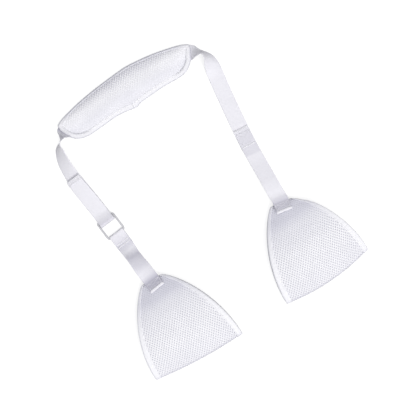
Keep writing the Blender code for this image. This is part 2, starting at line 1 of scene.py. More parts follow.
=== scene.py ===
"""Looks of the arm sling: white webbing, a padded mesh shoulder piece, a plastic ring and two mesh cradles.

Lengths are in metres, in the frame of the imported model. Plan routes are in millimetres, and follow the design's.
"""
import json
import math

import bpy
import numpy as np
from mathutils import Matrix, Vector
from mathutils.bvhtree import BVHTree


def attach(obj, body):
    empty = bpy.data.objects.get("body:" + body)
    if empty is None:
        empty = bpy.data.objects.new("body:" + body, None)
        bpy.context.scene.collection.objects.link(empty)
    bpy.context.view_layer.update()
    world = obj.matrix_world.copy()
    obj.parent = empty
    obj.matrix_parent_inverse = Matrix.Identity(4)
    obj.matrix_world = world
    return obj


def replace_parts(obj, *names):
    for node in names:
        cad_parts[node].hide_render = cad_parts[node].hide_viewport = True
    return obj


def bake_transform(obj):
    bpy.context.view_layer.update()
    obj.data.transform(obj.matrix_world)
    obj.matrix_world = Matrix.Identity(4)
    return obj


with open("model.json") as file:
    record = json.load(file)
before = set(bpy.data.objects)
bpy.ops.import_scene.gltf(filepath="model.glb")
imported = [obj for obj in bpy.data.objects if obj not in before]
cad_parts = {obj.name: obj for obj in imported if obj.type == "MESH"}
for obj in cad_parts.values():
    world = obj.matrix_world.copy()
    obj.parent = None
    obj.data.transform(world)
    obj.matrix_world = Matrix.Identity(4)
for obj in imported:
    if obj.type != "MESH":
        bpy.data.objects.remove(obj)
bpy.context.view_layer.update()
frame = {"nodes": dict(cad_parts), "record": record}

MM = 0.001
PIVOTS = {joint["name"]: np.array(joint["pos_m"]) for joint in frame["record"]["behaviour"]["joints"]}
UP = np.array((0.0, 0.0, 1.0))

# Sizes of the pieces
WEB_WIDTH = 25 * MM
WEB_THICK = 1.4 * MM
PATCH_WIDTH = 20 * MM
PAD_HALF = 116.5 * MM
PAD_ABOVE = 26 * MM
PAD_BELOW = 31 * MM
PAD_CROWN = 10.7 * MM
LOOP_RADIUS = 2.7 * MM
LEFT_LEAN = 5.5
LEFT_TAB_LEAN = 7
RIGHT_TAB_LEAN = -10
TAIL_LENGTH = 77.5 * MM
LEG_START = 4.4 * MM
TAIL_LIFT = 3.9 * MM
HEM_LENGTH = 7 * MM
TAB_FOLD = 26 * MM
TAB_ON_CRADLE = 16 * MM
SPLICE_LENGTH = 32 * MM
CRADLE_HALF = 73.5 * MM
CRADLE_TOP_HALF = 17 * MM
CRADLE_HEIGHT = 141 * MM
CRADLE_BELLY = 21.8 * MM
CRADLE_BACK = 1.2 * MM
CRADLE_FRONT_TOP = 6.9 * MM
CRADLE_TAPE = 9 * MM

# Plan of the upper webbing from the ring to the splice: x, y in mm and how far it stands on edge, in degrees
LEFT_WAY = ((-136, -122, -5), (-139, -95, -14), (-140.8, -70, -27), (-140.5, -48, -38), (-137, -31, -52),
            (-134.3, -24, -66))
PAD_WAY = ((-124.8, -15.8, -77), (-121, -12.4, -60), (-116.6, -9.2, -6), (-111, -6, 0), (-105.5, -4.4, 0),
           (-58.25, -4, 0), (0, -4, 0), (58.25, -4, 0), (105.5, -4.4, 0), (111, -6, -8), (116, -8.4, -24),
           (120.5, -11.6, -52), (124, -14.2, -66))
# Where it stands on edge, a little inside the axis of each neck
TURN_LEFT = (-129.2, -18.6, -86)
TURN_RIGHT = (127.4, -17.2, -74)
RIGHT_WAY = ((131, -28, -52), (129.5, -41, -18), (126.5, -58, 0), (121.5, -95, 0), (116, -140, 0), (112.5, -176, 0))
LEFT_WAVE = ((0.12, 5.0), (0.22, 3.6), (0.36, 5.0), (0.52, 9.2), (0.68, 11.0), (0.84, 10.4))
LEFT_ROLL = ((0.0, 0), (0.18, 7), (0.32, 17), (0.48, 32), (0.66, 23), (0.82, 8), (0.92, 0))
RIGHT_WAVE = ((0.12, 2.5), (0.3, 3.6), (0.5, 6.2), (0.64, 8.2), (0.76, 8.8), (0.87, 8.9))

# Middle line of a cradle's sheet from its front top edge round to its back one: shares of height and belly
LOOP_SECTION = ((0.1, 0.54), (0.227, 0.8), (0.411, 0.99), (0.624, 1.0), (0.809, 0.845), (0.908, 0.665),
                (0.967, 0.505), (0.993, 0.282), (0.965, 0.073), (0.908, 0.007), (0.794, 0.0), (0.426, 0.0), (0.0, 0.0))

# How much further down a cradle's sheet hangs: in its middle, at its right and at both sides
SLANT = {"left": (0.007, 0.034, -0.028), "right": (0.016, -0.0195, -0.0605)}
# How much lower the right corner of its top hangs, and how far down that fades out
SHOULDER = {"left": 1.5 * MM, "right": 8 * MM}
SHOULDER_DEPTH = 45 * MM

# The design's plan has its origin in the middle of the pad
NECK_LEFT = np.array((-131.5, -18)) * MM
SHIFT = PIVOTS["left_leg_swing"] - np.array((*NECK_LEFT, WEB_WIDTH / 2))


# Lines and meshes

def in_mm(*rows):
    """Pairs of a length and a share, with the length turned from millimetres to metres."""
    return tuple((length * MM, share) for length, share in rows)


def unit(rows):
    return rows / np.maximum(np.linalg.norm(rows, axis=-1, keepdims=True), 1e-12)


def smooth_line(points, steps):
    """Points on a smooth curve through the given rows, with that many steps between neighbours."""
    p = np.asarray(points, float)
    ends = np.vstack((p[:1], p, p[-1:]))
    t = (np.arange(steps) / steps)[:, None]
    spans = []
    for a, b, c, d in zip(ends, ends[1:], ends[2:], ends[3:]):
        spans.append(0.5 * (2 * b + (c - a) * t + (2 * a - 5 * b + 4 * c - d) * t ** 2
                            + (3 * b - a - 3 * c + d) * t ** 3))
    return np.vstack(spans + [p[-1:]])


def lengths_along(path):
    return np.concatenate(([0.0], np.cumsum(np.linalg.norm(np.diff(path, axis=0), axis=1))))


def at_lengths(path, rows, lengths):
    """Rows that go with a path, read at the given lengths along it."""
    marks = lengths_along(path)
    return np.stack([np.interp(lengths, marks, rows[:, k]) for k in range(rows.shape[1])], axis=1)


def even(path, across, spacing):
    """The same band with its stations at even steps."""
    total = lengths_along(path)[-1]
    steps = np.linspace(0, total, max(3, int(total / spacing) + 1))
    return at_lengths(path, path, steps), unit(at_lengths(path, across, steps))


def square_to(path, across):
    return unit(np.cross(unit(np.gradient(path, axis=0)), across))


def shade(piece, values):
    """Give a piece a share of painted shade at each of its points, for its material to read."""
    share = piece.data.attributes.new("painted_shade", "FLOAT", "POINT")
    share.data.foreach_set("value", np.asarray(values, np.float32).ravel())


def new_piece(name, verts, faces, mat, uv=None):
    mesh = bpy.data.meshes.new(name)
    mesh.from_pydata(np.reshape(verts, (-1, 3)).tolist(), [], faces)
    mesh.materials.append(mat)
    mesh.shade_smooth()
    if uv is not None:
        layer = mesh.uv_layers.new(name="weave")
        owners = np.empty(len(mesh.loops), dtype=np.int32)
        mesh.loops.foreach_get("vertex_index", owners)
        layer.data.foreach_set("uv", np.reshape(uv, (-1, 2)).astype(np.float32)[owners].ravel())
    mesh.update()
    obj = bpy.data.objects.new(name, mesh)
    bpy.context.scene.collection.objects.link(obj)
    return obj


def grid_faces(rows, columns, closed=False):
    faces = []
    wrap = columns if closed else columns - 1
    for i in range(rows - 1):
        for k in range(wrap):
            n = (k + 1) % columns
            faces.append((i * columns + k, i * columns + n, (i + 1) * columns + n, (i + 1) * columns + k))
    return faces


def tube_faces(rows, columns):
    """Faces round a row of rings, with a flat one at each end."""
    ends = (range(columns - 1, -1, -1), range((rows - 1) * columns, rows * columns))
    return grid_faces(rows, columns, closed=True) + [tuple(end) for end in ends]


BAND_TOP = ((-0.5, 0.0), (-0.494, 0.55), (-0.478, 0.9), (-0.44, 1.0), (-0.3, 0.97), (-0.15, 1.0), (0.0, 0.98),
            (0.15, 1.0), (0.3, 0.97), (0.44, 1.0), (0.478, 0.9), (0.494, 0.55), (0.5, 0.0))
BAND_SECTION = np.array(BAND_TOP + tuple((u, -h) for u, h in BAND_TOP[-2:0:-1]))
CUT_THICK = 0.12    # share of the thickness that is left at a pressed end


def band(name, path, across, mat, width=WEB_WIDTH, thick=WEB_THICK, spacing=1.5 * MM, cut=(0, 0), painted_shade=((0, 0),)):
    """Woven band with rounded selvedges along a path, each station crossed by its own vector.

    Its start and end are pressed thin from above over the lengths in cut, and its last argument gives shares of
    painted shade by length along it.
    """
    path, across = even(path, across, spacing)
    if cut[1]:
        path, across = np.insert(path, -1, path[-2:].mean(0), 0), np.insert(across, -1, across[-1], 0)
    normal = square_to(path, across)
    u, h = BAND_SECTION[:, 0], BAND_SECTION[:, 1]
    marks = lengths_along(path)
    near_end = np.minimum(marks / max(cut[0], 1e-6), (marks[-1] - marks) / max(cut[1], 1e-6))
    full = np.clip(CUT_THICK + near_end, 0, 1) if any(cut) else np.ones(len(path))
    level = np.where(h > 0, (h + 1) * full[:, None] - 1, np.minimum(h, 2 * full[:, None] - 1))
    verts = (path[:, None] + across[:, None] * (u * width)[None, :, None]
             + normal[:, None] * (level * thick / 2)[..., None])
    rows, columns = len(path), len(u)
    along = np.repeat(marks, columns)
    uv = np.stack((np.tile(u * width, rows), along), axis=1)
    piece = new_piece(name, verts, tube_faces(rows, columns), mat, uv)
    for edge in piece.data.edges:
        low, high = min(edge.vertices), max(edge.vertices)
        edge.use_edge_sharp = high < columns or low >= (rows - 1) * columns
    shade(piece, np.interp(along, *zip(*painted_shade)))
    return piece


def stitches(name, centres, ways, normals, lengths, mat, radius=0.28 * MM):
    """Short threads, each lying along its own way on a surface and sinking in at both ends."""
    rings, sides = 7, 6
    s = np.linspace(-1, 1, rings)
    angle = np.arange(sides) / sides * 2 * np.pi
    girth = np.sqrt(np.maximum(1 - 0.75 * s ** 4, 0.05)) * radius
    side = unit(np.cross(ways, normals))
    body = ways[:, None] * (np.asarray(lengths)[:, None] / 2 * s)[..., None]
    rise = normals[:, None] * (radius * (0.75 - 1.4 * s ** 4))[None, :, None]
    ring = (side[:, None] * np.cos(angle)[None, :, None] + normals[:, None] * np.sin(angle)[None, :, None])
    verts = (centres[:, None, None] + (body + rise)[:, :, None] + ring[:, None] * girth[None, :, None, None])
    per = rings * sides
    faces = [tuple(k + n * per for k in face) for n in range(len(centres)) for face in tube_faces(rings, sides)]
    uv = np.stack((np.tile(angle / (2 * np.pi), rings * len(centres)),
                   np.tile(np.repeat(s, sides), len(centres))), axis=1)
    return new_piece(name, verts, faces, mat, uv)


def running(path, normals, pitch=3.2 * MM, length=2.5 * MM):
    """Places, ways, normals and lengths of a running seam along a line."""
    spots = np.arange(pitch / 2, lengths_along(path)[-1], pitch)
    places, ways, ups = (at_lengths(path, rows, spots) for rows in (
        path, unit(np.gradient(path, axis=0)), np.broadcast_to(normals, path.shape)))
    return places, unit(ways), unit(ups), np.full(len(spots), length)


SEAM_WIDTH = WEB_WIDTH * 0.86
BAR_DEPTH = 2.6 * MM
BAR_TURNS = 34
BOX_PITCH = 2.6 * MM


def zigzag(middle, along, across, normal):
    """A bar of close stitches, back and forth across a band."""
    x = np.linspace(-SEAM_WIDTH / 2, SEAM_WIDTH / 2, BAR_TURNS + 1)
    y = np.where(np.arange(BAR_TURNS + 1) % 2 == 0, -BAR_DEPTH / 2, BAR_DEPTH / 2)
    corners = middle + across * x[:, None] + along * y[:, None]
    steps = np.diff(corners, axis=0)
    return ((corners[1:] + corners[:-1]) / 2, unit(steps), np.tile(normal, (BAR_TURNS, 1)),
            np.linalg.norm(steps, axis=1))


def sewn_box(middle, along, across, normal, length):
    """A sewn box with crossed diagonals."""
    half, reach = across * SEAM_WIDTH / 2, along * length / 2
    corners = (middle - half - reach, middle + half - reach, middle + half + reach, middle - half + reach)
    return joined(*(running(np.linspace(corners[a], corners[b], 12), normal, BOX_PITCH, BOX_PITCH * 0.8)
                    for a, b in ((0, 1), (1, 2), (2, 3), (3, 0), (0, 2), (1, 3))))


def joined(*runs):
    return tuple(np.concatenate(parts) for parts in zip(*runs))


# Materials

def plug(tree, source, socket):
    """Set a socket to a plain value, or link it to another socket."""
    if isinstance(source, (int, float, tuple)):
        socket.default_value = source
    else:
        tree.links.new(source, socket)


def add_node(tree, kind, *sources, **settings):
    """A new node, with sources for its first inputs in order."""
    made = tree.nodes.new(kind)
    for key, value in settings.items():
        setattr(made, key, value)
    for source, socket in zip(sources, made.inputs):
        plug(tree, source, socket)
    return made


class Paint:
    """A node material with one main shader; values are sockets or plain numbers."""

    def __init__(self, name, roughness, sheen=0.0):
        self.mat = bpy.data.materials.new(name)
        self.mat.use_nodes = True
        self.tree = self.mat.node_tree
        self.shader = self.tree.nodes["Principled BSDF"]
        for key, value in (("Roughness", roughness), ("Sheen Weight", sheen), ("Sheen Roughness", 0.5)):
            self.shader.inputs[key].default_value = value

    def node(self, kind, *sources, **settings):
        return add_node(self.tree, kind, *sources, **settings)

    def math(self, operation, a, b=0.0):
        return self.node("ShaderNodeMath", a, b, operation=operation).outputs[0]

    def add(self, a, b):
        return self.math("ADD", a, b)

    def times(self, a, b):
        return self.math("MULTIPLY", a, b)

    def weave_axes(self):
        """Across and along a piece, in metres."""
        place = self.node("ShaderNodeUVMap", uv_map="weave").outputs[0]
        return self.node("ShaderNodeSeparateXYZ", place).outputs[:2]

    def wave(self, value, pitch):
        return self.math("SINE", self.times(value, 2 * math.pi / pitch))

    def noise(self, scale, detail=3.0, stretch=(1, 1, 1)):
        place = self.node("ShaderNodeMapping", self.node("ShaderNodeTexCoord").outputs["Object"])
        place.inputs["Scale"].default_value = stretch
        made = self.node("ShaderNodeTexNoise", place.outputs[0])
        made.inputs["Scale"].default_value = scale
        made.inputs["Detail"].default_value = detail
        return made.outputs["Fac"]

    def colours(self, factor, *stops):
        ramp = self.node("ShaderNodeValToRGB", factor)
        for element, (place, colour) in zip(ramp.color_ramp.elements, stops):
            element.position = place
            element.color = (*colour, 1)
        return ramp.outputs[0]

    def darkened(self, colour, by):
        """The colour, multiplied by a painted shade colour, if one is given, where the mesh's share of painted shade
        is 1.
        """
        if by is None:
            return colour
        mix = self.node("ShaderNodeMix", data_type="RGBA", blend_type="MULTIPLY")
        share = self.node("ShaderNodeAttribute", attribute_name="painted_shade").outputs["Fac"]
        for source, place in ((share, 0), (colour, 6), ((*by, 1.0), 7)):
            plug(self.tree, source, mix.inputs[place])
        return mix.outputs[2]

    def finish(self, colour, height, strength, distance, roughness=None):
        bump = self.node("ShaderNodeBump")
        for key, value in (("Strength", strength), ("Distance", distance), ("Height", height)):
            plug(self.tree, value, bump.inputs[key])
        plug(self.tree, colour, self.shader.inputs["Base Color"])
        plug(self.tree, bump.outputs[0], self.shader.inputs["Normal"])
        if roughness is not None:
            plug(self.tree, roughness, self.shader.inputs["Roughness"])
        return self.mat


def woven(name, low, high, across_pitch, along_pitch, roughness, rib, depth, shade_colour=None):
    """Woven cloth: threads crossing over and under, with ribs across it and uneven threads."""
    paint = Paint(name, roughness, 0.2)
    x, y = paint.weave_axes()
    cross = paint.times(paint.wave(x, across_pitch), paint.wave(y, along_pitch))
    ribs = paint.times(paint.wave(y, along_pitch / 2), rib)
    weave = paint.add(paint.add(paint.times(cross, 0.5), 0.5), ribs)
    uneven = paint.noise(420, 2.0, (1, 1, 0.4))
    soil = paint.noise(28, 4.0)
    tone = paint.add(paint.times(weave, 0.45), paint.add(paint.times(uneven, 0.35), paint.times(soil, 0.3)))
    colour = paint.darkened(paint.colours(tone, (0.15, low), (0.85, high)), shade_colour)
    height = paint.add(weave, paint.times(uneven, 0.6))
    return paint.finish(colour, height, 0.5, depth, paint.add(roughness - 0.08, paint.times(uneven, 0.16)))


def knitted(name, low, high, sheen=0.2, shade_colour=None):
    """Knitted strands: fine fibres along and across, with a soft uneven tone."""
    paint = Paint(name, 0.8, sheen)
    fibres = paint.add(paint.noise(1500, 2.0, (1, 0.35, 1)), paint.noise(1500, 2.0, (0.35, 1, 1)))
    tone = paint.add(paint.times(fibres, 0.3), paint.times(paint.noise(40, 4.0), 0.4))
    colour = paint.darkened(paint.colours(tone, (0.3, low), (0.7, high)), shade_colour)
    return paint.finish(colour, fibres, 0.4, 0.15 * MM)


def spacer(name, low, high):
    """Spacer cloth behind the knit: dimples on a diagonal lattice over upright yarns."""
    paint = Paint(name, 0.85, 0.2)
    x, y = paint.weave_axes()
    dimple = paint.times(paint.wave(x, NET_ACROSS * 2), paint.wave(y, NET_ALONG * 2))
    tone = paint.add(paint.times(paint.math("ABSOLUTE", dimple), 0.55), paint.times(paint.noise(1100, 2.0), 0.5))
    return paint.finish(paint.colours(tone, (0.2, low), (0.8, high)), tone, 0.6, 0.5 * MM)


def moulded(name, low, high):
    """Moulded plastic: a fine grain and a cloudy tone."""
    paint = Paint(name, 0.36)
    paint.shader.inputs["IOR"].default_value = 1.49
    grain = paint.noise(900, 3.0)
    tone = paint.add(paint.times(grain, 0.3), paint.times(paint.noise(60, 3.0), 0.7))
    colour = paint.colours(tone, (0.3, low), (0.7, high))
    return paint.finish(colour, grain, 0.08, 0.1 * MM, paint.add(0.28, paint.times(grain, 0.16)))


def twisted(name, low, high):
    """Sewing thread with its twist."""
    paint = Paint(name, 0.5, 0.3)
    x, y = paint.weave_axes()
    twist = paint.wave(paint.add(x, paint.times(y, 2.5)), 1.0)
    tone = paint.add(paint.times(twist, 0.5), 0.5)
    return paint.finish(paint.colours(tone, (0.1, low), (0.9, high)), tone, 0.5, 0.12 * MM)


NET_ACROSS = 2.22 * MM   # half of the way from hole to hole across and along
NET_ALONG = 2.89 * MM

# Where a last colour is given, it is the painted shade that a piece's shade shares mix into its colour
WEBBING = woven("webbing_weave", (0.76, 0.755, 0.81), (0.89, 0.885, 0.93), 1.7 * MM, 1.5 * MM, 0.62, 0.35, 0.2 * MM,
                (0.62, 0.615, 0.68))
TAPE = woven("binding_weave", (0.84, 0.84, 0.88), (0.93, 0.93, 0.955), 0.7 * MM, 0.9 * MM, 0.55, 0.5, 0.05 * MM,
             (0.84, 0.84, 0.88))
PAD_BINDING = woven("pad_binding_weave", (0.78, 0.78, 0.82), (0.87, 0.87, 0.9), 0.7 * MM, 0.9 * MM, 0.55, 0.5,
                    0.05 * MM, (0.8, 0.8, 0.85))
BACKING = woven("backing_weave", (0.76, 0.76, 0.81), (0.87, 0.87, 0.91), 0.8 * MM, 0.8 * MM, 0.75, 0.1, 0.08 * MM)
KNIT = knitted("air_mesh_knit", (0.83, 0.83, 0.865), (0.93, 0.93, 0.95), shade_colour=(0.79, 0.79, 0.85))
SPACER = spacer("air_mesh_spacer", (0.54, 0.54, 0.605), (0.7, 0.7, 0.76))
SPACER_BODY = knitted("air_mesh_ground", (0.74, 0.74, 0.79), (0.85, 0.85, 0.89), shade_colour=(0.77, 0.77, 0.82))
PILE = knitted("fastener_pile", (0.7, 0.7, 0.76), (0.84, 0.84, 0.88), 0.3)
PLASTIC = moulded("ring_plastic", (0.57, 0.57, 0.6), (0.65, 0.65, 0.68))
THREAD = twisted("sewing_thread", (0.82, 0.82, 0.86), (0.94, 0.94, 0.96))


def own(obj, body):
    """Hang a piece on the body it rides on."""
    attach(obj, body)
    return obj


# Upper webbing

def down_of(lean):
    return np.array((math.sin(math.radians(lean)), -math.cos(math.radians(lean)), 0.0))


def square(down):
    return np.array((-down[1], down[0], 0.0))


TILT_EASING = 24    # passes that smooth the twist


def laid(stations, steps=14):
    """Path and width vectors of webbing that lies, or stands on its lower edge, along a plan route."""
    flat = smooth_line([station[:2] for station in stations], steps)
    onward = unit(np.gradient(flat, axis=0))
    tilt = np.interp(np.arange(len(flat)) / steps, np.arange(len(stations)), [station[2] for station in stations])
    for _ in range(TILT_EASING):
        tilt[1:-1] = (tilt[:-2] + 2 * tilt[1:-1] + tilt[2:]) / 4
    tilt = np.radians(tilt)
    across = np.stack((-onward[:, 1] * np.cos(tilt), onward[:, 0] * np.cos(tilt), np.sin(tilt)), axis=1)
    rise = WEB_WIDTH / 2 * np.abs(np.sin(tilt)) + WEB_THICK / 2 * np.abs(np.cos(tilt))
    path = np.stack((flat[:, 0] * MM, flat[:, 1] * MM, rise), axis=1) + SHIFT
    return path, across


LEFT_DOWN = down_of(LEFT_LEAN)
LEFT_ACROSS = square(LEFT_DOWN)
TOP_BAR = PIVOTS["ring_pivot"]
LOW_BAR = PIVOTS["left_tab_pivot"]
foot = (TOP_BAR - LEFT_DOWN * LEG_START - SHIFT) / MM
STATIONS = ((foot[0], foot[1], 0), *LEFT_WAY, TURN_LEFT, *PAD_WAY, TURN_RIGHT, *RIGHT_WAY)
upper, upper_across = laid(STATIONS)
middle = int(np.argmin(np.abs(upper[:, 0] - SHIFT[0]) + np.abs(upper[:, 1] - SHIFT[1])))

# Slack loop round the ring's top bar: distance from the bar into the window and level, in mm
LOOP_UNDER = ((8.5, 4.6), (8.3, 3.2), (7.4, 1.8), (5.5, 0.95), (2.5, 0.7), (-1.5, 0.7))
LOOP_OVER = ((8.5, 4.6), (8.3, 6.8), (7.3, 8.5), (5.4, 9.0), (2.5, 8.3), (-1, 7.3), (-5, 6.1), (-9, 5.2))


def beside_bar(bar, rows):
    rows = smooth_line(rows, 4) * MM
    return bar * (1, 1, 0) + LEFT_DOWN * rows[:, :1] + UP * rows[:, 1:]


# Painted shade beside the pad's ends, where the webbing is sewn in and turns out from under it: length from the pad's
# middle and share
RIGHT_NECK_SHADE = in_mm((112, 0.74), (115, 0), (128, 0), (132, 0.34), (141, 0.1), (164, 0.12), (174, 0))
LEFT_NECK_SHADE = in_mm((112, 1), (117, 1), (120, 0.7), (123, 0.1), (126, 0.1), (130, 0.5), (138, 0))

turn = beside_bar(TOP_BAR, LOOP_UNDER)
left_path = np.vstack((turn, upper[:middle + 1]))
left_across = np.vstack((np.tile(-LEFT_ACROSS, (len(turn), 1)), upper_across[:middle + 1]))
left_half = float(lengths_along(left_path)[-1])
left_web = band("left_webbing", left_path, left_across, WEBBING,
                painted_shade=tuple((left_half - reach, share) for reach, share in reversed(LEFT_NECK_SHADE)))
right_web = band("right_webbing", upper[middle:], upper_across[middle:], WEBBING, painted_shade=RIGHT_NECK_SHADE)

# The tail lies on the leg, over its fastener patches, and ends in a turned hem
leg_normal = square_to(upper, upper_across)


def on_leg(start, end, lift, steps=40):
    """A line on the leg's upper side between two lengths up from its foot."""
    spots = np.linspace(start, end, steps)
    lift = np.broadcast_to(lift(spots) if callable(lift) else lift, (steps,))[:, None]
    return (at_lengths(upper, upper, spots) + unit(at_lengths(upper, leg_normal, spots)) * lift,
            unit(at_lengths(upper, upper_across, spots)))


tail_end = TAIL_LENGTH - LEG_START
TAIL_DIP = 1.7 * MM
TAIL_DIP_LENGTH = 10 * MM


def tail_lift(spots):
    """Height of the tail over the leg: its end dips where no fastener lies under it."""
    share = np.clip((spots - tail_end) / TAIL_DIP_LENGTH + 1, 0, 1)
    return TAIL_LIFT - TAIL_DIP * share ** 2 * (3 - 2 * share)


tail_path, tail_across = on_leg(9 * MM, tail_end, tail_lift)
tail_normal = square_to(tail_path, tail_across)
HEM_RADIUS = 0.85 * MM
hem_turn = np.linspace(-90, 90, 9)[:, None] * math.pi / 180
tail_way = unit(tail_path[-1:] - tail_path[-2:-1])
hem_bend = (tail_path[-1] + tail_way * HEM_RADIUS * np.cos(hem_turn)
            + tail_normal[-1] * HEM_RADIUS * (1 + np.sin(hem_turn)))
hem_path, hem_across = on_leg(tail_end, tail_end - HEM_LENGTH, lambda spots: tail_lift(spots) + 2 * HEM_RADIUS, 10)
tail_start = beside_bar(TOP_BAR, LOOP_OVER)
tail_line = np.vstack((tail_start, tail_path, hem_bend[1:-1], hem_path))
tail_cross = np.vstack((np.tile(-LEFT_ACROSS, (len(tail_start), 1)), tail_across,
                        np.tile(tail_across[-1], (len(hem_bend) - 2, 1)), hem_across))
# Painted shade on the tail where it turns over the ring's top bar
tail_web = band("tail_webbing", tail_line, tail_cross, WEBBING, spacing=0.9 * MM,
                painted_shade=in_mm((0, 0.44), (7, 0.38), (16, 0)))

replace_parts(left_web, "left_strap", "pad_webbing")
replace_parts(right_web, "right_strap")
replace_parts(tail_web, "strap_tail", "tail_hem")
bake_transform(left_web)
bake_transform(right_web)
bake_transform(tail_web)


# Lower webbing

LEAD_IN = 3.7 * MM  # where it is level before a cradle's hinge, and lies on the panel past it
LEAD_ON = 2 * MM


def waved(start, hinge, down, wave, lead):
    """Smooth middle line from a start to a cradle's hinge and on over its panel."""
    shape = [start]
    for share, height in wave:
        spot = start + (hinge - start) * share
        shape.append(np.array((spot[0], spot[1], height * MM)))
    shape += [hinge - down * LEAD_IN, hinge + lead * LEAD_ON, hinge + lead * TAB_ON_CRADLE]
    return smooth_line(shape, 10)


def turned(start, end, count, last):
    """Width vectors that turn evenly from one to another, the last of them held."""
    share = np.clip(np.arange(count) / (count - last), 0, 1)[:, None]
    return unit(start * (1 - share) + end * share)


END_BEVEL = 1.8 * MM
SPLICE_BEVEL = 18 * MM
# Painted shade of the slack folds of the left one and of the splice of the right one: length along it and how dark it
# is
LEFT_FOLD_SHADE = in_mm((34, 0), (43, 0.22), (52, 0.66), (58, 0.5), (66, 0.05), (78, 0.68), (88, 0.44), (96, 0.46),
                   (107, 0.15))
SPLICE_SHADE = in_mm((0, 0.02), (8, 0.22), (20, 0.4), (44, 0.3), (46, 0), (60.8, 0.08))


def sewn_end_shade(total, before, share):
    """Painted shade on webbing whose end is sewn on a cradle, left light only on its bevelled edge."""
    start, edge = total - TAB_ON_CRADLE, total - 2 * END_BEVEL
    return (start - 11 * MM, before), (start - 1 * MM, share), (edge, share), (edge + 1 * MM, 0)


LOOP_SLOPE = (LOOP_SECTION[0][1] * (CRADLE_BELLY - CRADLE_BACK) + CRADLE_BACK - CRADLE_FRONT_TOP) / (
    LOOP_SECTION[0][0] * CRADLE_HEIGHT)
left_hinge, right_hinge = (PIVOTS[side + "_cradle_fold"] - UP * WEB_THICK / 2 for side in ("left", "right"))
left_down, right_down = down_of(LEFT_TAB_LEAN), down_of(RIGHT_TAB_LEAN)
left_lead, right_lead = left_down + UP * LOOP_SLOPE, right_down + UP * LOOP_SLOPE

bend = np.radians(np.linspace(-90, 90, 18))[:, None]
low_turn = LOW_BAR + LOOP_RADIUS * (UP * np.sin(bend) - LEFT_DOWN * np.cos(bend))
under = np.linspace(low_turn[0] + LEFT_DOWN * TAB_FOLD, low_turn[0] + LEFT_DOWN * 2 * MM, 12)
under[:, 2] = WEB_THICK / 2
left_way = waved(low_turn[-1], left_hinge, left_down, LEFT_WAVE, left_lead)
left_tab_path = np.vstack((under, low_turn, left_way[1:]))
left_side = turned(LEFT_ACROSS, square(left_down), len(left_way), 10)
left_share = (left_way - low_turn[-1]) @ LEFT_DOWN / np.dot(left_hinge - low_turn[-1], LEFT_DOWN)
left_roll = np.radians(np.interp(left_share, *zip(*LEFT_ROLL)))[:, None]
left_side = left_side * np.cos(left_roll) - UP * np.sin(left_roll)
left_tab_across = np.vstack((np.tile(LEFT_ACROSS, (len(under) + len(low_turn), 1)), left_side[1:]))
left_total = float(lengths_along(left_tab_path)[-1])
left_tab = band("left_tab_webbing", left_tab_path, left_tab_across, WEBBING, cut=(0, END_BEVEL),
                painted_shade=(*LEFT_FOLD_SHADE, *sewn_end_shade(left_total, 0.16, 0.98)))

onward = unit(upper[-1] - upper[-6])
lap = upper[-1] + UP * (WEB_THICK + 0.05 * MM)
right_way = waved(lap, right_hinge, right_down, RIGHT_WAVE, right_lead)
splice = np.linspace(lap - onward * SPLICE_LENGTH, lap, 14)
right_tab_path = np.vstack((splice[:-1], right_way))
splice_across = square(onward)
right_tab_across = np.vstack((np.tile(splice_across, (len(splice) - 1, 1)),
                              turned(splice_across, square(right_down), len(right_way), 10)))
right_total = float(lengths_along(right_tab_path)[-1])
right_tab = band("right_tab_webbing", right_tab_path, right_tab_across, WEBBING, cut=(SPLICE_BEVEL, END_BEVEL),
                 painted_shade=(*SPLICE_SHADE, *sewn_end_shade(right_total, 0, 0.74)))
for side, web, body, hinge, down in (("left", left_tab, "left_tab", left_hinge, left_down),
                                     ("right", right_tab, "right_leg", right_hinge, right_down)):
    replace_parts(web, side + "_tab", side + "_tab_end")
    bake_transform(web)

# Sewn rows on the webbing

def sew(name, seam, body, *nodes):
    piece = own(stitches(name, *seam, THREAD), body)
    if nodes:
        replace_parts(piece, *nodes)
    return piece


def surface_frame(path, across, i):
    """Top middle of a band at a station, with its directions along, across and up."""
    along = unit(path[min(i + 1, len(path) - 1)] - path[max(i - 1, 0)])
    side = unit(across[i] - along * np.dot(across[i], along))
    up = np.cross(along, side)
    return path[i] + up * WEB_THICK / 2, along, side, up


def bar_seam(path, across, i):
    return zigzag(*surface_frame(path, across, i))


KNOT_STATION = 19   # where the loop round the ring is sewn shut, in stations past it
KNOT_GAP = 5
HEM_ROWS = (2.2 * MM, 5.2 * MM)
END_BAR = 2.4 * MM  # how far back from the webbing's end its bar and its box are sewn
END_BOX = 9 * MM
END_BOX_LENGTH = 8 * MM

knot = len(under) + len(low_turn) + KNOT_STATION
sew("left_tab_seam", joined(bar_seam(left_tab_path, left_tab_across, knot),
                            bar_seam(left_tab_path, left_tab_across, knot - KNOT_GAP)), "left_tab", "left_tab_bartack")
splice_side = np.tile(splice_across, (len(splice), 1))
lap_frame = surface_frame(splice, splice_side, len(splice) // 2)
sew("splice_box_seam", sewn_box(*lap_frame, SPLICE_LENGTH * 0.56), "right_leg")
for name, place in (("upper", 0.1), ("lower", 0.9)):
    row = bar_seam(splice, splice_side, round(place * (len(splice) - 1)))
    sew(name + "_splice_seam", row, "right_leg", name + "_splice_bartack")
for label, path, across in (("left", left_tab_path, left_tab_across), ("right", right_tab_path, right_tab_across)):
    spot, *ways = surface_frame(path, across, len(path) - 2)
    bar = zigzag(spot - ways[0] * END_BAR, *ways)
    box = sewn_box(spot - ways[0] * END_BOX, *ways, END_BOX_LENGTH)
    sew(label + "_cradle_seam", joined(bar, box), label + "_cradle", label + "_cradle_bartack")

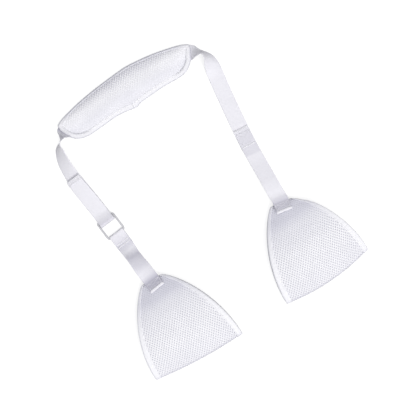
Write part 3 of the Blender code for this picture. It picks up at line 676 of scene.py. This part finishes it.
hem_rows = []
for back in HEM_ROWS:
    row_path, row_across = on_leg(tail_end - back - 0.1 * MM, tail_end - back + 0.1 * MM, 0.0, 3)
    row_normal = square_to(row_path, row_across)[1]
    row_middle = row_path[1] + row_normal * (tail_lift(tail_end - back) + 2 * HEM_RADIUS + WEB_THICK / 2)
    row = row_middle + row_across[1] * np.linspace(-SEAM_WIDTH / 2, SEAM_WIDTH / 2, 20)[:, None]
    hem_rows.append(running(row, row_normal, BOX_PITCH, 2 * MM))
sew("tail_hem_seam", joined(*hem_rows), "tail")

# Fastener patches between the leg and its tail
PATCH_START = 20 * MM
PATCH_THICK = 0.7 * MM
NAP_PITCH = 1.5     # in mm
NAP_LENGTH = 1.3 * MM
NAP_RADIUS = 0.14 * MM
NAP_RISE = 0.45 * MM
patch_end = tail_end - TAIL_DIP_LENGTH + 1 * MM
rng = np.random.default_rng(7)


def patch(name, lift, body, node, grown):
    """A fastener patch on the leg's line, with its nap grown up (1) or down (-1)."""
    line, cross = on_leg(PATCH_START, patch_end, lift)
    base = own(band(name, line, cross, PILE, PATCH_WIDTH, PATCH_THICK), body)
    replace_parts(base, node)
    face = square_to(line, cross)
    rows = np.arange(1.0, (patch_end - PATCH_START) / MM - 1.0, NAP_PITCH) * MM
    spots, ways, ups = [], [], []
    for row in rows:
        middle_spot, side, up = (at_lengths(line, lines, [row])[0] for lines in (line, cross, face * grown))
        for x in np.arange(-9.0, 9.1, NAP_PITCH) * MM:
            spots.append(middle_spot + side * (x + rng.uniform(-0.4, 0.4) * MM) + up * NAP_RISE)
            lean = rng.uniform(0, 2 * math.pi)
            flat = side * math.cos(lean) + np.cross(up, side) * math.sin(lean)
            ways.append(unit(flat + up * (0.2 if grown > 0 else 0.9)))
            ups.append(up)
    pile = stitches(name + "_nap", np.array(spots), np.array(ways), unit(np.array(ups)),
                    np.full(len(spots), NAP_LENGTH), PILE, NAP_RADIUS)
    own(pile, body)


patch("loop_patch_base", 1.4 * MM, "left_leg", "loop_patch", 1)
patch("hook_patch_base", 2.5 * MM, "tail", "hook_patch", -1)


# Knitted net with round holes on a diagonal lattice

HOLE = np.array((0.98, 1.3)) * MM
STRAND_RISE = 0.5 * MM
RIM = np.array([(math.cos(k * math.pi / 4), math.sin(k * math.pi / 4)) for k in range(8)])
CELL = ((2, 0), (1, 1), (0, 2), (-1, 1), (-2, 0), (-1, -1), (0, -2), (1, -1))


def net(inside, s_reach, t_reach, opening):
    """Flat net: places across and along, the height share of each place, and the faces, where inside says so.

    Opening gives the size of the holes along the net.
    """
    places, heights, faces, corners = [], [], [], {}
    for b in range(int(t_reach / NET_ALONG) + 1):
        columns = int(s_reach / (2 * NET_ACROSS)) + 1
        for a in range(-columns, columns + 1):
            hole = np.array(((2 * a + b % 2) * NET_ACROSS, b * NET_ALONG))
            if not inside(*hole):
                continue
            first = len(places)
            places.extend(hole + RIM * HOLE * np.interp(hole[1], *zip(*opening)))
            heights.extend([0.0] * 8)
            edge = []
            for dx, dy in CELL:
                key = (2 * (2 * a + b % 2) + dx, 2 * b + dy)
                if key not in corners:
                    corners[key] = len(places)
                    places.append(np.array(key) * (NET_ACROSS / 2, NET_ALONG / 2))
                    heights.append(1.0 if dx % 2 == 0 else 0.9)
                edge.append(corners[key])
            for k in range(8):
                n = (k + 1) % 8
                faces.append((first + k, edge[k], edge[n], first + n))
    return np.array(places), np.array(heights), faces


# Cradles

EDGE_DROOP = 0.22
BACK_EDGE_LIFT = 1.0 * MM
BACK_EDGE_FADE = 6 * MM
SLACK_FROM = 4 * MM     # the sides droop where the sheet stands higher than this
SLACK_OVER = 8 * MM
CORE_THICK = 1.7 * MM
TAPE_LEVEL = 1.62 * MM
TAPE_THICK = 0.5 * MM
# share of the knit's painted shade that the tapes take
TAPE_GATHER_SHADE = 0.8
TAPE_SEAM = 6.2 * MM
KNIT_INSET = 6.1 * MM
# The knit is denser where it is gathered under the webbing; painted shade darkens it most there and a little towards
# the bottom: length along the loop and share
GATHER_SHADE = in_mm((30, 1.0), (43, 0.45), (80, 0.0), (108, 0.0), (130, 0.2))
KNIT_OPENING = in_mm((25, 0.62), (70, 1.0))
# Section of a binding tape: inset from the sheet's edge and level, in mm, from its upper flap round to its lower one
TAPE_TOP = ((8, 1.3), (7.4, 1.58), (4, 1.62), (1.5, 1.62), (0.2, 1.45), (-0.6, 0.95))
TAPE_SECTION = np.array((*TAPE_TOP, (-0.95, 0), *((inset, -level) for inset, level in TAPE_TOP[::-1]))) * MM
# Painted shade along the outer edge of each tape, stronger on the left, and how far in it reaches
EDGE_SHADE = {-1: 0.7, 1: 0.1}
EDGE_SHADE_DEPTH = 1.5 * MM
FOLD_FROM = 0.965   # shares of the depth where the fold begins, and over which it comes in
FOLD_OVER = 0.03
KNIT_GAP = 0.06 * MM
# Puckers of the tapes: height, pitch, and how far the pitch drifts over what length
CRADLE_PUCKER = (0.1 * MM, 6.4 * MM, 1.7, 23 * MM)
PAD_PUCKER = (0.09 * MM, 6.1 * MM, 1.5, 19 * MM)


class Cradle:
    """The folded panel: a sheet round a slack loop, open at both sides."""

    def __init__(self, hinge, slant, shoulder):
        self.slant = slant
        self.shoulder = shoulder
        self.top = np.array((hinge[0], hinge[1], SHIFT[2]))
        section = [(0.0, CRADLE_FRONT_TOP)]
        section += [(down * CRADLE_HEIGHT, CRADLE_BACK + up * (CRADLE_BELLY - CRADLE_BACK))
                    for down, up in LOOP_SECTION]
        self.line = smooth_line(section, 14)
        self.marks = lengths_along(self.line)
        self.length = self.marks[-1]

    def depth(self, t):
        """How far down the loop has come, that far along it."""
        return np.interp(t, self.marks, self.line[:, 0])

    def half(self, t):
        share = np.clip(self.depth(t) / CRADLE_HEIGHT, 0, 1)
        return CRADLE_TOP_HALF + (CRADLE_HALF - CRADLE_TOP_HALF) * (1 - (1 - share) ** 2) ** 0.85

    def point(self, s, t):
        """Middle of the sheet, that far across and that far along the loop from its front top edge."""
        depth = self.depth(t)
        level = np.interp(t, self.marks, self.line[:, 1])
        half = self.half(t)
        rise = level - CRADLE_BACK
        slack = np.clip((rise - SLACK_FROM) / SLACK_OVER, 0, 1)
        droop = EDGE_DROOP * rise * (s / half) ** 2 * slack
        lift = BACK_EDGE_LIFT * np.clip((3 - (half - np.abs(s)) / CRADLE_TAPE) / 2, 0, 1)
        lift = lift * np.clip(1 - rise / BACK_EDGE_FADE, 0, None)
        side = s / half
        reach = 1 + self.slant[0] + self.slant[1] * side + self.slant[2] * side ** 2
        slope = self.shoulder * np.clip(side, 0, 1) ** 2 * np.clip(1 - depth / SHOULDER_DEPTH, 0, 1) ** 2
        return self.top + np.stack((s, -depth * reach - slope, level - droop + lift), axis=-1)

    def tape_share(self, t):
        """Width of the tape along the loop: it is narrow at the gathered top."""
        return np.interp(self.depth(t) / CRADLE_HEIGHT, (0.0, 0.25, 0.7), (0.5, 0.7, 1.0))

    def fold_shade(self, t):
        """1 along the fold at the bottom of the loop, where the cloth turns under and is painted darker as shade, and
        0 off it.
        """
        depth = self.depth(t) / self.line[:, 0].max()
        return np.clip((depth - FOLD_FROM) / FOLD_OVER, 0, 1)

    def normal(self, s, t, step=0.6 * MM):
        along = self.point(s, np.minimum(t + step, self.length)) - self.point(s, np.maximum(t - step, 0))
        sideways = self.point(s + step, t) - self.point(s - step, t)
        return unit(np.cross(along, sideways))


def puckered(along, height, pitch, drift, over):
    return height * np.sin(along / pitch * 2 * math.pi + drift * np.sin(along / over))


def solid(obj, thickness):
    """Thicken a sheet by half to each side."""
    shell = obj.modifiers.new("thickness", "SOLIDIFY")
    shell.thickness = thickness
    shell.offset = 0.0


def make_cradle(label, hinge, body):
    """One cradle: its folded sheet, the knit on it and the bound edges of both sides."""
    shape = Cradle(hinge, SLANT[label], SHOULDER[label])
    t = np.linspace(0, shape.length, 150)
    share = np.sin(np.linspace(-math.pi / 2, math.pi / 2, 41))
    grid_t, grid_share = np.meshgrid(t, share, indexing="ij")
    grid_s = grid_share * shape.half(grid_t)
    core = new_piece(label + "_cradle_sheet", shape.point(grid_s, grid_t), grid_faces(len(t), len(share)), SPACER,
                     np.stack((grid_s, grid_t), axis=-1))
    solid(core, CORE_THICK)
    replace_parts(own(core, body), label + "_cradle_panel")

    def inside(s, along):
        reach = shape.half(along) - KNIT_INSET * shape.tape_share(along)
        return NET_ALONG < along < shape.length - NET_ALONG and abs(s) < reach

    places, heights, faces = net(inside, CRADLE_HALF, shape.length, KNIT_OPENING)
    s, along = places[:, 0], np.clip(places[:, 1], 0, shape.length)
    lift = CORE_THICK / 2 + KNIT_GAP + STRAND_RISE * heights
    knit = new_piece(label + "_cradle_knit", shape.point(s, along) + shape.normal(s, along) * lift[:, None], faces,
                     KNIT, places)
    own(knit, body)
    # painted shade on the knit at the gathered top, a little towards the bottom, and along the fold
    shade(knit, np.maximum(np.interp(along, *zip(*GATHER_SHADE)), shape.fold_shade(along)))

    seams = []
    rows = np.linspace(0, shape.length, 260)
    for edge, side_name in ((-1, "left"), (1, "right")):
        along, inset = np.meshgrid(rows, TAPE_SECTION[:, 0], indexing="ij")
        inset = inset * shape.tape_share(along)
        height = np.tile(TAPE_SECTION[:, 1], (len(rows), 1))
        pucker = np.sign(height) * puckered(along, *CRADLE_PUCKER)
        height = height + pucker * np.clip(inset / (3 * MM), 0, 1)
        s = edge * (shape.half(along) - inset)
        verts = shape.point(s, along) + shape.normal(s, along) * height[..., None]
        uv = np.stack((np.tile(lengths_along(TAPE_SECTION), (len(rows), 1)), along), axis=-1)
        name = f"{label}_cradle_binding_{side_name}"
        tape = new_piece(name + "_tape", verts, grid_faces(len(rows), len(TAPE_SECTION)), TAPE, uv)
        # painted shade on the tape: along its outer edge, along the fold and at the gathered top
        edge_shade = np.clip(1 - TAPE_SECTION[:, 0] / EDGE_SHADE_DEPTH, 0, 1) * EDGE_SHADE[edge]
        shade(tape, np.maximum.reduce((np.broadcast_to(edge_shade, along.shape), shape.fold_shade(along),
                                       TAPE_GATHER_SHADE * np.interp(along, *zip(*GATHER_SHADE)))))
        solid(tape, TAPE_THICK)
        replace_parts(own(tape, body), name)
        for face in (1, -1):
            line_s = edge * (shape.half(rows) - TAPE_SEAM * shape.tape_share(rows))
            normals = shape.normal(line_s, rows) * face
            seams.append(running(shape.point(line_s, rows) + normals * (TAPE_LEVEL + TAPE_THICK / 2), normals))
    sew(label + "_cradle_binding_seam", joined(*seams), body)


make_cradle("left", left_hinge, "left_cradle")
make_cradle("right", right_hinge, "right_cradle")


# Shoulder pad

PAD_BASE = 1.7 * MM
PAD_EDGE_BASE = 2.6 * MM
BACKING_THICK = 0.8 * MM
PAD_EDGE_TOP = 4.3 * MM

# The pad's outline in plan, in mm: from its right tip over the upper edge, and back from its left tip below
PAD_UPPER_EDGE = ((115.2, 4.5), (104, 10), (88, 14.7), (64, 20.2), (44, 23.4), (18, 26), (0, 25.4), (-24, 23.6),
                  (-48, 21.2), (-72, 17.8), (-92, 13.6), (-108, 9.6), (-118, 5))
PAD_LOWER_EDGE = ((-118, 5), (-117.6, -3), (-114, -13), (-108, -21.5), (-100, -27), (-90, -30), (-80, -30.5),
                  (-60, -29.5), (-46, -28.6), (-30, -28.2), (-16, -30), (-8, -31.5), (0, -32), (4, -30.4), (12, -29.3),
                  (28, -28.6), (46, -27.6), (64, -28.2), (78, -28.6), (88.5, -27.2), (97.3, -22.8), (104, -17),
                  (109, -9), (113.4, -2), (115.2, 4.5))


def pad_line():
    """The outline as angles about the pad's middle and distances from it."""
    above, below = (smooth_line(np.array(edge) * MM, 10) for edge in (PAD_UPPER_EDGE, PAD_LOWER_EDGE))
    line = np.vstack((above, below[1:-1]))
    angle = np.arctan2(line[:, 1], line[:, 0])
    order = np.argsort(angle)
    return angle[order], np.linalg.norm(line, axis=1)[order]


PAD_ANGLES, PAD_REACH = pad_line()


def pad_reach(angle):
    return np.interp(angle, PAD_ANGLES, PAD_REACH, period=2 * math.pi)


def pad_edge(turn):
    """Points on the pad's outline, in plan."""
    angle = np.arctan2(PAD_ABOVE * np.sin(turn), PAD_HALF * np.cos(turn))
    return np.stack((np.cos(angle), np.sin(angle)), axis=-1) * pad_reach(angle)[..., None]


def pad_back_level(share):
    return PAD_BASE + BACKING_THICK / 2 + (PAD_EDGE_BASE - PAD_BASE) * np.minimum(1, share / 0.75) ** 4


PAD_FLANGE = 0.13   # share of the lower half that is left as a flat rim
PAD_LEAN = 0.1      # the crown leans down towards the upper edge
# How square the crown's section is, and how much more so below and above the middle
CROWN_POWER = 2.6
CROWN_POWER_BELOW = 1.6
CROWN_POWER_ABOVE = 0.4


def pad_top_level(share, edge_y):
    """Level of the pad's face; edge_y is where the line from its middle through the place meets the outline."""
    lower = np.clip(-edge_y / (20 * MM), 0, 1)
    upper = np.clip(edge_y / (15 * MM), 0, 1)
    out = np.minimum(share / (1 - PAD_FLANGE * lower ** 2 * (3 - 2 * lower)), 1)
    power = CROWN_POWER + CROWN_POWER_BELOW * lower + CROWN_POWER_ABOVE * upper
    return PAD_EDGE_TOP + PAD_CROWN * (1 - out ** power) ** 0.9


def backing_top(share):
    return pad_back_level(share) + BACKING_THICK / 2


def pad_layer(turn, share, level, lean=0.0):
    plan = pad_edge(turn) * share[..., None]
    level = level - lean * plan[..., 1] * (1 - share ** 2)
    return np.concatenate((plan, level[..., None]), axis=-1) + SHIFT


SPOKES = 120


def pad_rings(shares):
    """Turns and shares of rings of points about the pad's middle."""
    return np.meshgrid(np.arange(SPOKES) / SPOKES * 2 * math.pi, shares, indexing="xy")


def pad_disc(name, shares, level, mat):
    turn, share = pad_rings(shares)
    verts = pad_layer(turn, share, level(share))
    middle_spot = pad_layer(np.zeros(1), np.zeros(1), level(np.zeros(1)))
    faces = grid_faces(len(shares), SPOKES, closed=True)
    last = (len(shares) - 1) * SPOKES
    faces += [(last + k, last + (k + 1) % SPOKES, len(shares) * SPOKES) for k in range(SPOKES)]
    points = np.vstack((verts.reshape(-1, 3), middle_spot))
    return new_piece(name, points, faces, mat, points[:, :2])


backing = pad_disc("pad_backing", np.linspace(0.995, 0.04, 14), pad_back_level, BACKING)
solid(backing, BACKING_THICK)
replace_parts(own(backing, "shoulder"), "pad_back_panel")


def pad_share(plan):
    """How far out each plan point lies, from 0 at the pad's middle to 1 on its outline."""
    return np.maximum(np.linalg.norm(plan, axis=1) / pad_reach(np.arctan2(plan[:, 1], plan[:, 0])), 1e-6)


SLACK_SHARE = 0.8
SWELL_CAP = 4 * MM
SWELL_FRAMES = 20
SWELL_PRESSURE = 4.0
VOXEL = 2 * MM
HELD_FROM = 0.72    # it is held from this share of its outline on, and near its back
HELD_OVER = 0.18
HELD_BACK = 1.6
HELD_DEPTH = 1.2 * MM


def slack_level(share, edge_y):
    back = backing_top(share)
    return back + (pad_top_level(share, edge_y) - back) * SLACK_SHARE


def pad_body():
    """Closed slack body of the pad, before it is swelled."""
    out = np.linspace(0.06, 0.985, 26)
    shares = np.concatenate((out, out[::-1]))
    turn, share = pad_rings(shares)
    level = slack_level(share, pad_edge(turn)[..., 1])
    level[:len(out)] = backing_top(share[:len(out)])
    lean = np.where(np.arange(len(shares)) < len(out), 0.0, PAD_LEAN)[:, None]
    verts = pad_layer(turn, share, level, lean).reshape(-1, 3)
    zero = np.zeros(1)
    poles = np.vstack((pad_layer(zero, zero, backing_top(zero)),
                       pad_layer(zero, zero, slack_level(zero, zero))))
    faces = grid_faces(len(shares), SPOKES, closed=True)
    last, pole = (len(shares) - 1) * SPOKES, len(verts)
    for k in range(SPOKES):
        n = (k + 1) % SPOKES
        faces.append((n, k, pole))
        faces.append((last + k, last + n, pole + 1))
    return new_piece("pad_cushion", np.vstack((verts, poles)), faces, SPACER)


def pad_shade(y):
    """The knit is open towards the upper edge, where it is stretched over the roll, and painted shade darkens it and
    its ground there.
    """
    return np.clip((y - 6 * MM) / (15 * MM), 0, 1)


def coordinates(mesh):
    rows = np.empty(len(mesh.vertices) * 3, dtype=np.float32)
    mesh.vertices.foreach_get("co", rows)
    return rows.reshape(-1, 3).astype(float)


def applied(obj):
    """The object's mesh with its modifiers worked in."""
    bpy.context.view_layer.update()
    ready = obj.evaluated_get(bpy.context.evaluated_depsgraph_get())
    return bpy.data.meshes.new_from_object(ready)


def swell(obj):
    """Blow the pad up a little as cloth, held at its edge and its back."""
    remesh = obj.modifiers.new("remesh", "REMESH")
    remesh.mode = "VOXEL"
    remesh.voxel_size = VOXEL
    mesh = applied(obj)
    obj.modifiers.clear()
    obj.data = mesh
    before = coordinates(mesh)
    share = pad_share(before[:, :2] - SHIFT[:2])
    floor_level = backing_top(share) + SHIFT[2]
    hold = np.maximum(np.clip((share - HELD_FROM) / HELD_OVER, 0, 1),
                      np.clip(HELD_BACK - (before[:, 2] - floor_level) / HELD_DEPTH, 0, 1))
    group = obj.vertex_groups.new(name="held")
    for k, weight in enumerate(hold):
        group.add([k], float(weight), "REPLACE")
    cloth = obj.modifiers.new("swell", "CLOTH")
    cloth.settings.vertex_group_mass = "held"
    cloth.settings.use_pressure = True
    cloth.settings.uniform_pressure_force = SWELL_PRESSURE
    cloth.settings.effector_weights.gravity = 0.0
    cloth.point_cache.frame_start = 1
    cloth.point_cache.frame_end = SWELL_FRAMES
    for frame_number in range(1, SWELL_FRAMES + 1):
        bpy.context.scene.frame_set(frame_number)
    after = coordinates(applied(obj))
    obj.modifiers.clear()
    bpy.context.scene.frame_set(1)
    moved = after - before
    length = np.linalg.norm(moved, axis=1, keepdims=True)
    moved *= np.minimum(1, SWELL_CAP / np.maximum(length, 1e-9))
    before = before + moved
    before[:, 2] = np.maximum(before[:, 2], floor_level)
    mesh.vertices.foreach_set("co", before.ravel().astype(np.float32))
    mesh.materials.clear()
    mesh.materials.append(SPACER_BODY)
    mesh.shade_smooth()
    mesh.update()
    # painted shade on the ground towards the upper edge
    shade(obj, pad_shade(before[:, 1] - SHIFT[1]))
    rounder = obj.modifiers.new("rounder", "SUBSURF")
    rounder.levels = rounder.render_levels = 1


cushion = pad_body()
swell(cushion)
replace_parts(own(cushion, "shoulder"), "pad_foam_core", "pad_face_panel")
pad_mesh = applied(cushion)
pad_tree = BVHTree.FromPolygons([tuple(v.co) for v in pad_mesh.vertices],
                                [tuple(p.vertices) for p in pad_mesh.polygons])


def pad_surface(plan):
    """Top of the pad under each plan point, and its upward normal."""
    share = pad_share(plan - SHIFT[:2])
    level = pad_top_level(np.minimum(share, 1), (plan[:, 1] - SHIFT[1]) / share)
    spots = np.concatenate((plan, (level + SHIFT[2])[:, None]), axis=1)
    normals = np.tile(UP, (len(plan), 1))
    for k, (x, y) in enumerate(plan):
        place, normal, _, _ = pad_tree.ray_cast(Vector((x, y, 0.1)), Vector((0, 0, -1)))
        if place is not None and place.z > PAD_EDGE_TOP:
            spots[k], normals[k] = place, normal
    return spots, normals


OUTLINE_TURNS = np.arange(1440) / 1440 * 2 * math.pi
OUTLINE = pad_edge(OUTLINE_TURNS)
outline_marks = lengths_along(np.vstack((OUTLINE, OUTLINE[:1])))
BINDING_STATIONS = 420
stops = np.linspace(0, outline_marks[-1], BINDING_STATIONS, endpoint=False)
rim = np.stack([np.interp(stops, outline_marks, np.append(OUTLINE[:, k], OUTLINE[0, k])) for k in range(2)], axis=1)
rim_way = unit(np.roll(rim, -3, axis=0) - np.roll(rim, 3, axis=0))
rim_out = np.stack((rim_way[:, 1], -rim_way[:, 0]), axis=1)


def smoothed(rows, passes=6):
    for _ in range(passes):
        rows = (np.roll(rows, 1, axis=0) + 2 * rows + np.roll(rows, -1, axis=0)) / 4
    return rows


rim_out = unit(smoothed(rim_out, 10))

# The flap of the tape is narrow along the upper edge, where the pad rolls over it
between_tips = np.clip((PAD_HALF - 9 * MM - np.abs(rim[:, 0])) / (12 * MM), 0, 1)
roll = smoothed(np.clip((rim_out[:, 1] - 0.35) / 0.4, 0, 1) * between_tips, 12)
flap_share = 1 - 0.68 * roll
UPPER_DROP = 1.1 * MM
PAD_KNIT_INSET = 3.2 * MM
PAD_KNIT_EDGE = 0.985
PAD_KNIT_UPPER_SHADE = 0.15   # how dark the knit is towards the upper and the lower edge
PAD_KNIT_LOWER_SHADE = 0.52
PAD_ROW_START = PAD_BELOW + 2 * MM
PAD_OPENING = in_mm((10, 0.72), (30, 0.82), (40, 1.15), (50, 1.28))


def on_pad(x, along):
    """Whether a hole of the pad's net lies clear of the tape."""
    plan = np.array((x, along - PAD_ROW_START))
    distance = np.linalg.norm(rim - plan, axis=1)
    spot = np.argmin(distance)
    if roll[spot] > 0.5:
        return pad_share(plan[None])[0] < 1.03
    return pad_share(plan[None])[0] < 0.97 and distance[spot] > PAD_KNIT_INSET * flap_share[spot]


places, heights, faces = net(on_pad, PAD_HALF, PAD_ABOVE + PAD_ROW_START, PAD_OPENING)
plan = places - (0, PAD_ROW_START)
plan *= np.minimum(1, PAD_KNIT_EDGE / pad_share(plan))[:, None]
spots, normals = pad_surface(plan + SHIFT[:2])
pad_knit = new_piece("pad_knit", spots + normals * (KNIT_GAP + STRAND_RISE * heights)[:, None], faces, KNIT, places)
own(pad_knit, "shoulder")
# Painted shade on the knit, a little towards the upper edge and more towards the lower one
lower_shade = np.clip((2 * MM - plan[:, 1]) / (16 * MM), 0, 1)
shade(pad_knit, PAD_KNIT_UPPER_SHADE * pad_shade(plan[:, 1]) + PAD_KNIT_LOWER_SHADE * lower_shade)

# Section of the pad's tape, from its upper flap round to its lower one: insets, then rises or levels
FLAP_TOP = np.array((5.9, 4.6, 3.2, 1.8)) * MM
FLAP_RISE = np.array((0.22, 0.6, 0.78, 0.8)) * MM
ROUND = np.array(((0.5, 5.5), (-0.7, 5.0), (-1.35, 3.75), (-0.8, 2.6), (0.4, 2.25))) * MM
ROUND_MIDDLE = 3.75 * MM
FLAP_LOW = np.array(((1.8, 2.25), (5.25, 2.3))) * MM
PAD_TAPE_THICK = 0.6 * MM
PAD_TAPE_WIDTH = 17 * MM
PAD_SEAM = 3.9 * MM


def rim_row(inset, level):
    """A line of points round the pad, at an inset from its outline."""
    level = np.broadcast_to(level, (len(rim),)) - UPPER_DROP * roll * (level > 4.5 * MM)
    return np.concatenate((rim - rim_out * inset, level[:, None]), axis=1) + SHIFT


def flap_row(inset, rise):
    row = rim_row((inset * flap_share)[:, None], 0.0)
    row[:, 2] = smoothed(np.maximum(pad_surface(row[:, :2])[0][:, 2], 5.0 * MM - 0.6 * UPPER_DROP * roll)) + rise
    return row


def pad_binding_rows(extra):
    lines = []
    for inset, rise in zip(FLAP_TOP, FLAP_RISE):
        row = flap_row(inset, rise + extra)
        row[:, 2] += puckered(stops, *PAD_PUCKER)
        lines.append(row)
    for inset, level in ROUND:
        place = (inset * flap_share)[:, None] if inset > 0 else inset - extra
        lines.append(rim_row(place, level + extra * np.sign(level - ROUND_MIDDLE)))
    lines += [rim_row(inset, level - extra) for inset, level in FLAP_LOW]
    return np.stack(lines, axis=1)


# Painted shade on the pad's tape across its section, and where the pad rolls over it
PAD_TAPE_SHADE = np.array((0.25, 0.05, 0, 0, 0.1, 0.8, 1, 1, 1, 1, 1))
ROLL_SHADE = 0.65


def pad_tape(name, verts, rolled, closed):
    count, columns = verts.shape[:2]
    along = np.repeat(np.arange(count) * outline_marks[-1] / BINDING_STATIONS, columns)
    across = np.tile(np.linspace(0, PAD_TAPE_WIDTH, columns), count)
    faces = grid_faces(count, columns)
    if closed:
        last = (count - 1) * columns
        faces += [(last + k, last + k + 1, k + 1, k) for k in range(columns - 1)]
    tape = new_piece(name, verts, faces, PAD_BINDING, np.stack((across, along), axis=1))
    shade(tape, np.maximum(PAD_TAPE_SHADE[None, :], ROLL_SHADE * rolled[:, None]).ravel())
    solid(tape, PAD_TAPE_THICK)
    return own(tape, "shoulder")


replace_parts(pad_tape("pad_binding_tape", pad_binding_rows(0.0), roll, True), "pad_binding")
at_join = np.flatnonzero((np.abs(rim[:, 0]) < 7 * MM) & (rim[:, 1] < 0))
pad_tape("pad_binding_join", pad_binding_rows(0.3 * MM)[at_join], roll[at_join], False)
seam_row = flap_row(PAD_SEAM, FLAP_RISE[2] + PAD_TAPE_THICK / 2)
open_run = np.flatnonzero(roll < 0.5)
open_run = np.roll(open_run, -1 - int(np.argmax(np.diff(open_run))))
seam_row = seam_row[open_run]
under_row = rim_row(PAD_SEAM, FLAP_LOW[1][1] - PAD_TAPE_THICK / 2)
under_row = np.vstack((under_row, under_row[:1]))
sew("pad_binding_seam", joined(running(seam_row, UP), running(under_row, -UP)), "shoulder")

# Camera, light and floor

CENTRE = SHIFT + np.array((5.2 * MM, -205.3 * MM, 0))
VIEW_WIDTH = 0.612
CAMERA_HEIGHT = 1.6
CAMERA_TURN = -32
SENSOR = 36.0
scene = bpy.context.scene
camera = bpy.data.cameras.new("camera")
camera.sensor_width = SENSOR
camera.lens = SENSOR * CAMERA_HEIGHT / VIEW_WIDTH
eye = bpy.data.objects.new("camera", camera)
eye.location = (CENTRE[0], CENTRE[1], CAMERA_HEIGHT)
eye.rotation_euler = (0, 0, math.radians(CAMERA_TURN))
scene.collection.objects.link(eye)
scene.camera = eye
scene.view_settings.view_transform = "Standard"

SKY_COLOUR = (0.97, 0.97, 1.0, 1)
SKY_LOW = 0.2
SKY_HIGH = 0.78
SKY_RISE = 0.8      # how high up it is brightest
world = bpy.data.worlds.new("studio")
scene.world = world
world.use_nodes = True
sky = world.node_tree
backdrop = sky.nodes["Background"]
direction_in = add_node(sky, "ShaderNodeTexCoord").outputs["Generated"]
height_of = add_node(sky, "ShaderNodeSeparateXYZ", direction_in).outputs["Z"]
brightness = add_node(sky, "ShaderNodeMapRange", height_of, 0.0, SKY_RISE, SKY_LOW, SKY_HIGH)
plug(sky, SKY_COLOUR, backdrop.inputs[0])
plug(sky, brightness.outputs[0], backdrop.inputs[1])

KEY_DIRECTION = (-0.08, 0.62, -0.78)
KEY_STRENGTH = 1.68
KEY_ANGLE = 40
key_light = bpy.data.lights.new("key", "SUN")
key_light.energy = KEY_STRENGTH
key_light.color = (1.0, 0.99, 0.965)
key_light.angle = math.radians(KEY_ANGLE)
key_lamp = bpy.data.objects.new("key", key_light)
key_lamp.rotation_euler = Vector(KEY_DIRECTION).to_track_quat("-Z", "Y").to_euler()
scene.collection.objects.link(key_lamp)

FLOOR_GREY = (0.4, 0.4, 0.4, 1)
FLOOR_GLOW = 0.74
FLOOR_REACH = 3.0
FLOOR_LEVEL = -0.2 * MM
WHITE = (1.0, 1.0, 1.0, 1.0)
floor_mat = bpy.data.materials.new("floor")
floor_mat.use_nodes = True
tree = floor_mat.node_tree
tree.nodes.clear()
rays = add_node(tree, "ShaderNodeLightPath").outputs
seen = add_node(tree, "ShaderNodeMath", rays["Is Camera Ray"], rays["Is Glossy Ray"], operation="MAXIMUM")
seen = add_node(tree, "ShaderNodeMath", seen.outputs[0], rays["Is Transmission Ray"], operation="MAXIMUM")
gain = add_node(tree, "ShaderNodeMath", seen.outputs[0], FLOOR_GLOW, operation="MULTIPLY")
diffuse = add_node(tree, "ShaderNodeBsdfDiffuse", FLOOR_GREY)
glow = add_node(tree, "ShaderNodeEmission", WHITE, gain.outputs[0])
both = add_node(tree, "ShaderNodeAddShader", diffuse.outputs[0], glow.outputs[0])
add_node(tree, "ShaderNodeOutputMaterial", both.outputs[0])
corners = [(x * FLOOR_REACH, y * FLOOR_REACH, FLOOR_LEVEL) for x, y in ((-1, -1), (1, -1), (1, 1), (-1, 1))]
floor = new_piece("floor", corners, [(0, 1, 2, 3)], floor_mat)

ring = frame["nodes"]["adjuster_ring"]
ring.data.materials.clear()
ring.data.materials.append(PLASTIC)
